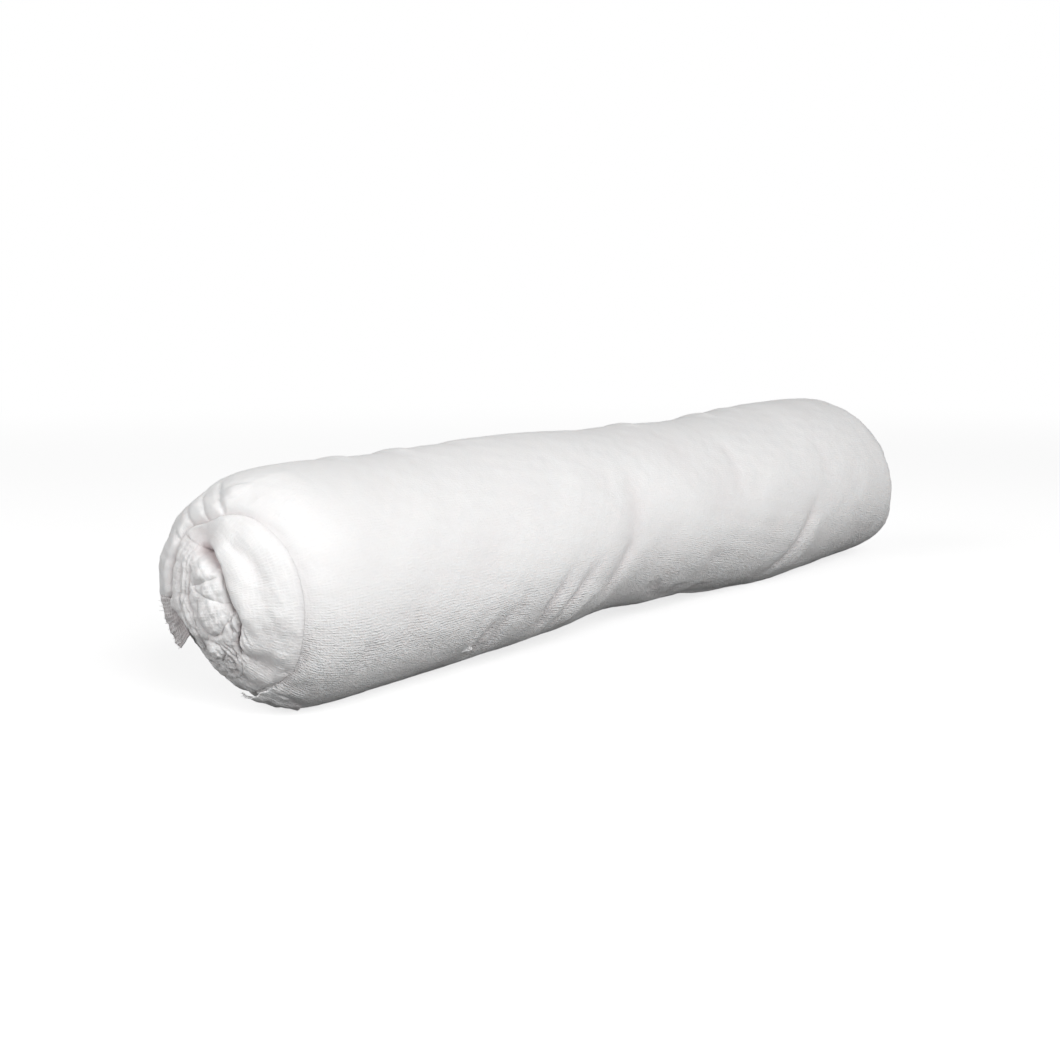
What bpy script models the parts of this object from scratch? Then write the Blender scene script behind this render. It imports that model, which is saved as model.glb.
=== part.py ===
"""Cotton wool gauze roll: one length of gauze-faced cotton wool, wound on itself and laid down.

The roll lies along X with its near end at -X, on the plane z = 0. Angles go round the X axis:
0 degrees is the front (-Y), 90 is the top, 180 the back and -90 the underside. Metres, +Z up.
"""

import math

import bmesh
import bpy
from mathutils import Vector

MM = 0.001

# Driving sizes of the whole roll.
ROLL_LENGTH = 450 * MM
AXIS_HEIGHT = 42.5 * MM
TIP_HEIGHT = 42.0 * MM

# The free edge of the cloth runs along the roll here, low on its front.
FREE_EDGE_ANGLE = -75.0
FREE_EDGE_STEP = 3.0 * MM
STEP_ANGLE = 3.5

# The step's height above the plain round, as a share of it, and how its turn sinks to meet it.
STEP_RISE = 0.1
STEP_SINK_POWER = 3

# Slow unevenness of the skin: its height, how many waves go round, the length along X in which
# it turns by one radian, and where it starts, in radians.
LUMPS = (
    (0.35 * MM, 2, 31 * MM, 0.0),
    (0.30 * MM, 3, -47 * MM, 1.0),
)

# How finely the skin is divided: columns in one turn, rows along the barrel,
# and where the rows across one turn lie, from its outer crease to its inner one.
COLUMNS = 48
BARREL_ROWS = 46
TURN_ROWS = (0.0, 0.2, 0.5, 0.8, 1.0)
WELD_DISTANCE = 0.005 * MM

# The barrel, section by section: place along X, radius and height of the centre, in mm,
# and how far its underside is pressed flat, from 0 where it bridges to 1 where it rests.
SECTIONS = (
    (-225, 42.0, 42.0, 0.0),
    (-190, 42.6, 41.8, 0.2),
    (-176, 42.8, 41.7, 1.0),
    (-140, 42.2, 41.8, 1.0),
    (-110, 42.0, 42.4, 0.3),
    (-80, 42.0, 42.7, 0.0),
    (-50, 41.1, 43.3, 0.0),
    (-20, 39.4, 44.1, 0.0),
    (10, 40.6, 43.0, 0.0),
    (40, 40.6, 42.7, 0.2),
    (70, 42.0, 41.7, 1.0),
    (100, 43.2, 41.4, 1.0),
    (130, 43.6, 42.5, 1.0),
    (160, 43.4, 42.8, 1.0),
    (176, 42.6, 42.9, 0.6),
    (190, 41.4, 42.8, 0.0),
    (225, 41.0, 42.4, 0.0),
)

# The flat spot on the underside: its half angle, and where the skin is fully round again.
FLAT_HALF_ANGLE = 12.5
FLAT_FADE_ANGLE = 24.0

# How fast the flat spot and the free edge's step fade from the shoulder to the tip, as powers.
SHOULDER_FADE = 12
STEP_FADE = 6

# How far each domed end reaches in from its tip, at angles round the roll, in mm.
END_REACH = (
    (-90, 45, 34),
    (-40, 40, 34),
    (0, 40, 38),
    (90, 40, 40),
    (150, 36, 38),
    (190, 38, 38),
    (230, 50, 36),
    (270, 45, 34),
)

# The crease between two turns, followed inwards along the winding: turns from the free edge,
# the crease's radius as a share of the roll's, its depth and the turn's own swelling, in mm.
NEAR_WINDING = (
    (0.00, 1.000, 0.0, 0.0),
    (0.05, 0.900, 1.8, 0.0),
    (0.10, 0.850, 2.6, 0.2),
    (0.24, 0.820, 2.0, 0.4),
    (0.30, 0.800, 2.0, 0.6),
    (0.36, 0.765, 2.4, 0.9),
    (0.42, 0.725, 3.6, 2.0),
    (0.46, 0.660, 4.0, 1.4),
    (0.51, 0.640, 4.4, 1.2),
    (0.56, 0.610, 4.8, 0.8),
    (0.62, 0.520, 5.0, 1.2),
    (0.70, 0.440, 5.0, 1.0),
    (0.74, 0.500, 4.6, 0.6),
    (0.79, 0.660, 3.2, 0.0),
    (0.85, 0.770, 2.8, -1.6),
    (0.93, 0.780, 3.4, -2.4),
    (1.00, 0.740, 3.4, -1.6),
    (1.13, 0.590, 2.4, 0.6),
    (1.20, 0.600, 1.6, 1.0),
    (1.30, 0.585, 1.6, 1.0),
    (1.37, 0.530, 2.2, 1.0),
    (1.43, 0.470, 3.0, 0.8),
    (1.50, 0.420, 3.6, 0.4),
    (1.70, 0.330, 3.8, 0.0),
    (1.80, 0.380, 4.2, -2.6),
    (1.90, 0.420, 3.8, -2.2),
    (2.00, 0.460, 3.8, -1.8),
    (2.11, 0.430, 4.6, 0.8),
    (2.22, 0.330, 5.6, 1.6),
    (2.34, 0.310, 5.6, 1.6),
    (2.50, 0.320, 4.6, 0.6),
    (2.70, 0.240, 3.6, 0.2),
    (3.00, 0.260, 3.2, -0.8),
    (3.20, 0.200, 2.8, 0.8),
    (3.50, 0.140, 2.4, 0.5),
    (4.00, 0.000, 0.0, 0.0),
)
FAR_WINDING = (
    (0.00, 1.000, 0.0, 0.0),
    (0.06, 0.900, 1.8, 0.0),
    (0.15, 0.840, 3.0, 0.6),
    (0.50, 0.770, 3.6, 1.2),
    (1.00, 0.680, 3.4, 0.8),
    (1.50, 0.590, 3.6, 1.0),
    (2.00, 0.500, 3.8, 0.8),
    (2.50, 0.400, 4.0, 1.0),
    (3.00, 0.290, 3.6, 0.8),
    (3.50, 0.160, 3.0, 0.6),
    (4.00, 0.000, 0.0, 0.0),
)

# Main folds of the outer turn, each a soft trough from one point to another: place along X in mm
# and angle of both ends, depth and half width in mm. A negative depth is a ridge.
FOLDS = (
    (-28, 75, -28, -20, 1.3, 8.0),
    (-28, -20, -36, -50, 1.6, 8.0),
    (-57, 70, -45, 24, 0.5, 8.0),
    (52, 52, 52, 10, 0.6, 8.0),
    (108, 5, 98, -28, 1.6, 7.0),
    (98, -28, 101, -58, 1.5, 7.0),
    (118, -8, 105, -42, -1.1, 7.0),
    (-111, -14, -112, -52, 1.2, 7.5),
    (-80, -16, -79, -44, 1.0, 7.5),
    (-52, -30, -64, -48, -0.8, 7.0),
    (126, 60, 126, 20, 0.5, 8.0),
    (171, 5, 171, -40, 1.2, 7.0),
    (-182, -18, -190, -38, 1.0, 8.0),
    (-28, 100, -34, 200, 1.0, 9.0),
    (95, 110, 106, 190, 0.9, 9.0),
    (-125, 120, -120, 215, 0.8, 9.0),
)

# Loose frayed ends that show at the near end. Each is a thin sheet that lies just off the skin:
# its name, its two angles, the share of the roll's radius at its root and at its free edge, its
# lift off the skin in mm, and how far the free edge stands out in teeth along it, in mm.
SHEET_GAP = 0.35 * MM
SHEET_THICKNESS = 1.2 * MM
SHEET_COLUMNS = 8
SHEET_ROWS = 4
TOOTH_TAPER_POWER = 3
LOOSE_ENDS = (
    ("frayed_tongue", 187.0, 228.0, 0.35, 0.54, 0.6, (1.6, 0.2, 0.6, 0.1, 0.7, 0.2, 0.9, 1.6, 0.6)),
    ("frayed_corner", -82.0, -62.0, 0.95, 0.80, 0.3, (1.4, 0.3, 1.0, 0.2, 0.6, 0.0, 0.4, 0.1, 0.3)),
)

COTTON_COLOUR = (0.86, 0.85, 0.85, 1.0)
COTTON_ROUGHNESS = 0.95


def clear_scene():
    """Empty the scene."""
    for obj in list(bpy.data.objects):
        bpy.data.objects.remove(obj, do_unlink=True)


def smooth_value(rows, at, column):
    """Read a column of a table at a place between its rows, on a smooth curve through them."""
    places = [row[0] for row in rows]
    values = [row[column] for row in rows]
    at = min(max(at, places[0]), places[-1])
    index = 0
    while index < len(places) - 2 and at > places[index + 1]:
        index += 1
    span = places[index + 1] - places[index]
    share = (at - places[index]) / span
    slopes = []
    for end in (index, index + 1):
        before = max(end - 1, 0)
        after = min(end + 1, len(places) - 1)
        slopes.append((values[after] - values[before]) / (places[after] - places[before]))
    square = share * share
    cube = square * share
    start_weight = 2 * cube - 3 * square + 1
    return (
        start_weight * values[index]
        + (1 - start_weight) * values[index + 1]
        + (cube - 2 * square + share) * span * slopes[0]
        + (cube - square) * span * slopes[1]
    )


def column_angle(column):
    """Angle of a column of the skin. The last one of each turn stands close to the free edge."""
    turn, place = divmod(column, COLUMNS)
    angle = 360.0 * place / COLUMNS
    if place == COLUMNS - 1:
        angle = 360.0 - STEP_ANGLE
    return FREE_EDGE_ANGLE + 360.0 * turn + angle


def wrapped(angle):
    """The same direction as an angle from -90 to 270 degrees."""
    return (angle + 90.0) % 360.0 - 90.0


def fold_relief(x, angle):
    """Depth of all the folds together at a point of the barrel."""
    total = 0.0
    for x0, angle0, x1, angle1, depth, width in FOLDS:
        along = Vector((x1 - x0, math.radians(angle1 - angle0) * AXIS_HEIGHT / MM))
        offset = Vector((x / MM - x0, math.radians(wrapped(angle) - angle0) * AXIS_HEIGHT / MM))
        share = min(max(offset.dot(along) / along.length_squared, 0.0), 1.0)
        distance = (offset - along * share).length
        total += depth * math.exp(-((distance / width) ** 2))
    return total * MM


def barrel_radius(x, angle, step=FREE_EDGE_STEP):
    """Radius of the outer turn, which steps down once round, past the free edge."""
    radius = smooth_value(SECTIONS, x / MM, 1) * MM
    round_share = ((angle - FREE_EDGE_ANGLE) % 360.0) / 360.0
    for height, waves, length, start in LUMPS:
        radius += height * math.sin(math.radians(waves * angle) + x / length + start)
    return radius + step * (STEP_RISE - round_share**STEP_SINK_POWER) - fold_relief(x, angle)


def end_reach(side, angle):
    """How far a domed end reaches in from its tip. Side is -1 at the near end and 1 at the far end."""
    return smooth_value(END_REACH, wrapped(angle), 1 if side < 0 else 2) * MM


def placed(x, angle, radius, height, press):
    """A point of the skin, pressed flat on the underside and never below what the roll lies on."""
    turn = math.radians(angle)
    off_bottom = min(abs(wrapped(angle) + 90.0), abs(wrapped(angle) - 270.0))
    fade = (FLAT_FADE_ANGLE - off_bottom) / (FLAT_FADE_ANGLE - FLAT_HALF_ANGLE)
    fade = min(max(fade, 0.0), 1.0)
    z = (height + radius * math.sin(turn)) * (1.0 - press * fade * fade * (3.0 - 2.0 * fade))
    return Vector((x, -radius * math.cos(turn), max(z, 0.0)))


def pressed_share(x):
    """How far a section's underside is pressed flat."""
    return min(max(smooth_value(SECTIONS, x / MM, 3), 0.0), 1.0)


def barrel_point(x, angle):
    """A point of the barrel's skin."""
    height = smooth_value(SECTIONS, x / MM, 2) * MM
    return placed(x, angle, barrel_radius(x, angle), height, pressed_share(x))


def dome_point(side, angle, share, lift):
    """A point of a domed end: its share of the roll's radius, and its height over the dome."""
    reach = end_reach(side, angle)
    shoulder = side * (ROLL_LENGTH / 2 - reach)
    full = barrel_radius(shoulder, angle, FREE_EDGE_STEP * share**STEP_FADE)
    shoulder_height = smooth_value(SECTIONS, shoulder / MM, 2) * MM
    height = TIP_HEIGHT + (shoulder_height - TIP_HEIGHT) * share
    rise = math.sqrt(max(1.0 - share * share, 0.0))
    slope = Vector((rise / reach, share / full)).normalized()
    x = side * (ROLL_LENGTH / 2 - reach * (1.0 - rise) + lift * slope.x)
    press = pressed_share(shoulder) * share**SHOULDER_FADE
    return placed(x, angle, share * full + lift * slope.y, height, press)


def winding_lift(winding, turn, across):
    """Height of the skin over the dome, across one turn from its outer crease to its inner one."""
    outer_depth = smooth_value(winding, turn - 1.0, 2) if turn > 1.0 else 0.0
    inner_depth = smooth_value(winding, turn, 2)
    swell = smooth_value(winding, turn, 3)
    crown = 4.0 * across * (1.0 - across)
    outer_crease = max(1.0 - across / TURN_ROWS[1], 0.0)
    inner_crease = max(1.0 - (1.0 - across) / TURN_ROWS[1], 0.0)
    return (swell * crown - outer_depth * outer_crease - inner_depth * inner_crease) * MM


def outer_turn_swell(angle, share):
    """How far the outer turn of the near end swells over the dome at a share of the radius."""
    turn = ((angle - FREE_EDGE_ANGLE) % 360.0) / 360.0
    width = max(1.0 - smooth_value(NEAR_WINDING, turn, 1), 0.01)
    across = min((1.0 - share) / width, 1.0)
    return max(winding_lift(NEAR_WINDING, turn, across), 0.0)


def end_point(side, winding, column, across):
    """A point of an end, by its column along the winding and its place across the turn."""
    turn = column / COLUMNS
    inner = smooth_value(winding, turn, 1)
    outer = smooth_value(winding, turn - 1.0, 1) if turn > 1.0 else 1.0
    share = outer + (inner - outer) * across
    lift = winding_lift(winding, turn, across)
    return dome_point(side, column_angle(column), share, lift)


def add_grid(mesh, columns, rows, point_at):
    """Add a grid of faces to the mesh and move each of its points to point_at(column, row)."""
    made = bmesh.ops.create_grid(mesh, x_segments=columns, y_segments=rows, size=1.0)
    for vert in made["verts"]:
        column = round((vert.co.x + 1.0) / 2.0 * columns)
        row = round((vert.co.y + 1.0) / 2.0 * rows)
        vert.co = point_at(column, row)


def add_end(mesh, side, winding):
    """Add the wound face of one end, a strip that follows the winding to the middle."""
    turns = int(winding[-1][0]) + 1
    add_grid(
        mesh,
        turns * COLUMNS,
        len(TURN_ROWS) - 1,
        lambda column, row: end_point(side, winding, column, TURN_ROWS[row]),
    )


def add_barrel(mesh):
    """Add the outer turn between the two shoulders."""

    def point_at(column, row):
        angle = column_angle(column % COLUMNS)
        start = -ROLL_LENGTH / 2 + end_reach(-1, angle)
        stop = ROLL_LENGTH / 2 - end_reach(1, angle)
        return barrel_point(start + (stop - start) * row / BARREL_ROWS, angle)

    add_grid(mesh, COLUMNS, BARREL_ROWS, point_at)


def add_loose_end(mesh, angle0, angle1, root, tip, lift, teeth):
    """Add one frayed end, a thin sheet just off the skin, whose edge at the tip is toothed."""

    def point_at(column, row):
        angle = angle0 + (angle1 - angle0) * column / SHEET_COLUMNS
        along = row / SHEET_ROWS
        tooth = math.copysign(teeth[column] * MM / AXIS_HEIGHT, tip - root)
        share = root + (tip - root) * along + tooth * along**TOOTH_TAPER_POWER
        overhang = FREE_EDGE_STEP * share**STEP_FADE if angle < FREE_EDGE_ANGLE else 0.0
        off_skin = SHEET_GAP + lift * MM + overhang + outer_turn_swell(angle, share)
        return dome_point(-1, angle, share, off_skin)

    add_grid(mesh, SHEET_COLUMNS, SHEET_ROWS, point_at)
    mesh.normal_update()
    mesh.faces.ensure_lookup_table()
    middle = mesh.faces[len(mesh.faces) // 2]
    away = middle.calc_center_median() - Vector((0.0, 0.0, AXIS_HEIGHT))
    if middle.normal.dot(away) > 0.0:
        bmesh.ops.reverse_faces(mesh, faces=mesh.faces[:])
    bmesh.ops.solidify(mesh, geom=mesh.faces[:], thickness=SHEET_THICKNESS)
    for vert in mesh.verts:
        vert.co.z = max(vert.co.z, SHEET_GAP)


def cotton_material(name):
    """Plain white cotton."""
    material = bpy.data.materials.new(name)
    material.use_nodes = True
    shader = material.node_tree.nodes["Principled BSDF"]
    shader.inputs["Base Color"].default_value = COTTON_COLOUR
    shader.inputs["Roughness"].default_value = COTTON_ROUGHNESS
    shader.inputs["Metallic"].default_value = 0.0
    return material


def finish_object(name, mesh):
    """Close the mesh, turn its faces outwards and give it an object of that name."""
    bmesh.ops.remove_doubles(mesh, verts=mesh.verts[:], dist=WELD_DISTANCE)
    bmesh.ops.triangulate(mesh, faces=mesh.faces[:])
    bmesh.ops.recalc_face_normals(mesh, faces=mesh.faces[:])
    data = bpy.data.meshes.new(name)
    mesh.to_mesh(data)
    mesh.free()
    data.shade_smooth()
    data.materials.append(cotton_material(name + "_cotton"))
    obj = bpy.data.objects.new(name, data)
    bpy.context.scene.collection.objects.link(obj)
    return obj


def make_roll():
    """The wound roll, one closed body."""
    mesh = bmesh.new()
    add_barrel(mesh)
    add_end(mesh, -1, NEAR_WINDING)
    add_end(mesh, 1, FAR_WINDING)
    return finish_object("gauze_roll", mesh)


def make_loose_ends():
    """The frayed ends that stand loose at the near end."""
    made = []
    for name, *sizes in LOOSE_ENDS:
        mesh = bmesh.new()
        add_loose_end(mesh, *sizes)
        made.append(finish_object(name, mesh))
    return made


def centre_over_origin(objects):
    """Move the objects together, so that the origin lies under the middle of them all."""
    places = [vert.co for obj in objects for vert in obj.data.vertices]
    for axis in (0, 1):
        values = [place[axis] for place in places]
        middle = (min(values) + max(values)) / 2
        for place in places:
            place[axis] -= middle


def main():
    clear_scene()
    centre_over_origin([make_roll(), *make_loose_ends()])


main()
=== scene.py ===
"""Dresses the cotton wool gauze roll: its wound skin, its gathered ends, its frayed edges and its gauze.

The roll lies along X with its near end at -X. Angles go round the X axis in degrees: 0 is the
front (-Y), 90 the top, 180 the back and -90 the underside. Tables are in millimetres and degrees,
and everything that is built is in metres.
"""

import logging
import math
from collections.abc import Callable
from dataclasses import dataclass, field
from enum import Enum

import bmesh
import bpy
import numpy as np
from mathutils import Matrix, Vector


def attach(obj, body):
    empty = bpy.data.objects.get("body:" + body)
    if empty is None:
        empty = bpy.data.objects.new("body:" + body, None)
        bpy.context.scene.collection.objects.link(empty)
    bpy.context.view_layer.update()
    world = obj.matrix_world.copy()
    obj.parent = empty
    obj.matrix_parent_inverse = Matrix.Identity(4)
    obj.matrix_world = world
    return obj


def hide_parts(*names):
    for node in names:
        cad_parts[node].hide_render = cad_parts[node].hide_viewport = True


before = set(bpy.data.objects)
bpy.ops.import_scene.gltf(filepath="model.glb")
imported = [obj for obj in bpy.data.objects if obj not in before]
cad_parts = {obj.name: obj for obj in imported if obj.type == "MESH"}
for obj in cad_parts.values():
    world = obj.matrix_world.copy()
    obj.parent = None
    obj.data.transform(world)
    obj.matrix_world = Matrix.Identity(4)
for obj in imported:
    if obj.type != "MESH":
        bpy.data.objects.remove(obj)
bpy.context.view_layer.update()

LOG = logging.getLogger("gauze_roll")
MM = 0.001
FULL_TURN = 360.0
# Radius in millimetres on which the places of an end's face are measured.
FACE_RADIUS = 42.5
# Points on each leg of a fold's line, and how steeply a shallow valley falls.
LEG_POINTS = 10
VALLEY_SLOPE = 1.4
# How the painted shade of a crease grows with its depth.
CREASE_SHADE_POWER = 1.4
Array = np.ndarray
Socket = bpy.types.NodeSocket
Colour = tuple[float, float, float, float]
WHITE = (1.0, 1.0, 1.0, 1.0)


class Side(Enum):
    """The two ends of the roll, each with its direction along X."""

    NEAR = -1
    FAR = 1


class Relief(Enum):
    """The cross-section of a fold: a soft trough, or two puffs that meet in a sharp crease."""

    SOFT = "soft"
    SHARP = "sharp"


@dataclass(frozen=True)
class SmoothTable:
    """Values read on a smooth curve through a few rows, each row a place and its values."""

    rows: tuple[tuple[float, ...], ...]

    def at(self, places: Array, column: int = 1) -> Array:
        """Read one column.

        Args:
            places: where to read it; beyond the first and last row the curve stays level.
            column: the column's number in the rows.

        Returns:
            One value for each place.
        """
        table = np.array(self.rows, dtype=float)
        known, values = table[:, 0], table[:, column]
        number = np.arange(len(known))
        before, after = np.maximum(number - 1, 0), np.minimum(number + 1, len(known) - 1)
        slopes = (values[after] - values[before]) / (known[after] - known[before])
        places = np.clip(places, known[0], known[-1])
        index = np.clip(np.searchsorted(known, places) - 1, 0, len(known) - 2)
        span = known[index + 1] - known[index]
        share = (places - known[index]) / span
        square, cube = share**2, share**3
        weight = 2 * cube - 3 * square + 1
        level = weight * values[index] + (1 - weight) * values[index + 1]
        rise = (cube - 2 * square + share) * slopes[index] + (cube - square) * slopes[index + 1]
        return level + rise * span


def smooth_step(low: float, high: float, values: Array) -> Array:
    """Rise smoothly from 0 at low to 1 at high."""
    share = np.clip((values - low) / (high - low), 0.0, 1.0)
    return share * share * (3.0 - 2.0 * share)


def lip_drop(distance: Array, width: float) -> Array:
    """Share of its depth that a round lip has dropped, at a distance in from its edge."""
    short = np.clip(1.0 - distance / width, 0.0, 1.0)
    return 1.0 - np.sqrt(1.0 - short**2)


def crease_drop(distance: Array, depth: Array, width: Array, soft: Array) -> Array:
    """Drop of the skin beside a crease.

    Args:
        distance: how far each point lies from the crease.
        depth: the crease's depth.
        width: how far its shoulder reaches.
        soft: 0 for two puffs that meet in a cusp, 1 for a shallow rounded valley.

    Returns:
        The drop at each point, in the units of the depth.
    """
    valley = np.exp(-((VALLEY_SLOPE * distance / width) ** 2))
    return depth * ((1.0 - soft) * lip_drop(distance, width) + soft * valley)


@dataclass(frozen=True)
class Waves:
    """Gentle unevenness made of a few plane waves in fixed directions, and its height."""

    seed: int
    length: float
    count: int = 9
    height: float = 1.0
    spread: tuple[float, float] = (0.7, 1.5)

    def sample(self, points: Array, folded: bool = False) -> Array:
        """Read the unevenness.

        Args:
            points: places in metres, one row each.
            folded: whether the waves fold over into puffs with sharp creases between them.

        Returns:
            A value for each place, as shares of the height about -1 to 1, or 0 to 1 when folded.
        """
        source = np.random.default_rng(self.seed)
        total = np.zeros(len(points))
        for _ in range(self.count):
            way = source.normal(size=3)
            way *= 2 * math.pi / (self.length * source.uniform(*self.spread) * np.linalg.norm(way))
            wave = np.sin(points @ way + source.uniform(0, 2 * math.pi))
            total += np.abs(wave) if folded else wave
        return self.height * total / (self.count if folded else math.sqrt(self.count))


@dataclass(frozen=True)
class Fold:
    """One trough or ridge that follows a line on the skin.

    The points are (x, angle) on the barrel and (angle, share of the radius) on an end.
    """

    points: tuple[tuple[float, float], ...]
    depth: float
    width: float
    relief: Relief = Relief.SOFT
    fade: float = 0.25

    def drop(self, skin: Array, on_skin: Callable[[Array], Array]) -> Array:
        """How far the fold lowers each point of the skin.

        Args:
            skin: the plain skin's points, in metres.
            on_skin: turns the fold's own points into points of the plain skin.

        Returns:
            The drop along the normal in metres, one for each point.
        """
        route = np.array(self.points, dtype=float)
        steps = np.linspace(0, len(route) - 1, LEG_POINTS * (len(route) - 1) + 1)
        places = np.column_stack([np.interp(steps, np.arange(len(route)), route[:, i]) for i in (0, 1)])
        line = on_skin(places)
        nearest = np.full(len(skin), np.inf)
        along = np.zeros(len(skin))
        for number in range(len(line) - 1):
            start, run = line[number], line[number + 1] - line[number]
            share = np.clip((skin - start) @ run / max(run @ run, 1e-12), 0.0, 1.0)
            distance = np.linalg.norm(skin - start - share[:, None] * run, axis=1)
            closer = distance < nearest
            nearest = np.where(closer, distance, nearest)
            along = np.where(closer, (number + share) / (len(line) - 1), along)
        ends = smooth_step(0.0, self.fade, np.minimum(along, 1.0 - along)) if self.fade else 1.0
        width = self.width * MM
        if self.relief is Relief.SHARP:
            return self.depth * MM * ends * lip_drop(nearest, width)
        return self.depth * MM * ends * np.exp(-((nearest / width) ** 2))


def tilted(across: Array, up: Array, tilt: float) -> tuple[Array, Array]:
    """The same steps across and up, measured along a patch that is tilted by some degrees."""
    turn = math.radians(tilt)
    first = across * math.cos(turn) + up * math.sin(turn)
    return first, up * math.cos(turn) - across * math.sin(turn)


@dataclass(frozen=True)
class Mound:
    """One rounded flap or puff of an end's face: its middle, half sizes, tilt and height."""

    across: float
    up: float
    half_width: float
    half_height: float
    tilt: float
    height: float
    edge: float = 1.5

    def rise(self, across: Array, up: Array) -> Array:
        """Height of the mound at places of the face, in metres."""
        first, second = tilted(across - self.across, up - self.up, self.tilt)
        far = (np.abs(first) / self.half_width) ** 2 + (np.abs(second) / self.half_height) ** 2
        return self.height * MM * np.exp(-(far**self.edge))


@dataclass(frozen=True)
class Ruck:
    """A patch of small rope-like folds: its middle, half sizes, tilt, spacing, height and waver."""

    across: float
    up: float
    half_width: float
    half_height: float
    tilt: float
    spacing: float
    height: float
    waver: float
    seed: int
    # How far the folds are drawn out along themselves, and the lengths of their sway and their
    # breaks in spacings, with the number of waves in both.
    stretch: float = 0.45
    sway_length: float = 4.0
    break_length: float = 3.0
    waves: int = 5
    # The folds' roundness, their middle level, and the even and the broken share of their height.
    roundness: float = 0.8
    middle: float = 0.55
    even: float = 0.75
    broken: float = 0.35

    def rise(self, across: Array, up: Array) -> Array:
        """Height of the folds at places of the face, in metres."""
        first, second = tilted(across - self.across, up - self.up, self.tilt)
        far = (first / self.half_width) ** 2 + (second / self.half_height) ** 2
        inside = np.exp(-(far**2))
        places = np.column_stack([first, self.stretch * second, np.zeros(len(first))]) * MM
        sway = Waves(self.seed, self.spacing * self.sway_length * MM, self.waves).sample(places)
        strand = np.abs(np.sin(math.pi * first / self.spacing + self.waver * sway))
        breaks = Waves(self.seed + 1, self.spacing * self.break_length * MM, self.waves).sample(places)
        broken = self.even + self.broken * breaks
        return self.height * MM * inside * (strand**self.roundness - self.middle) * broken


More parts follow.
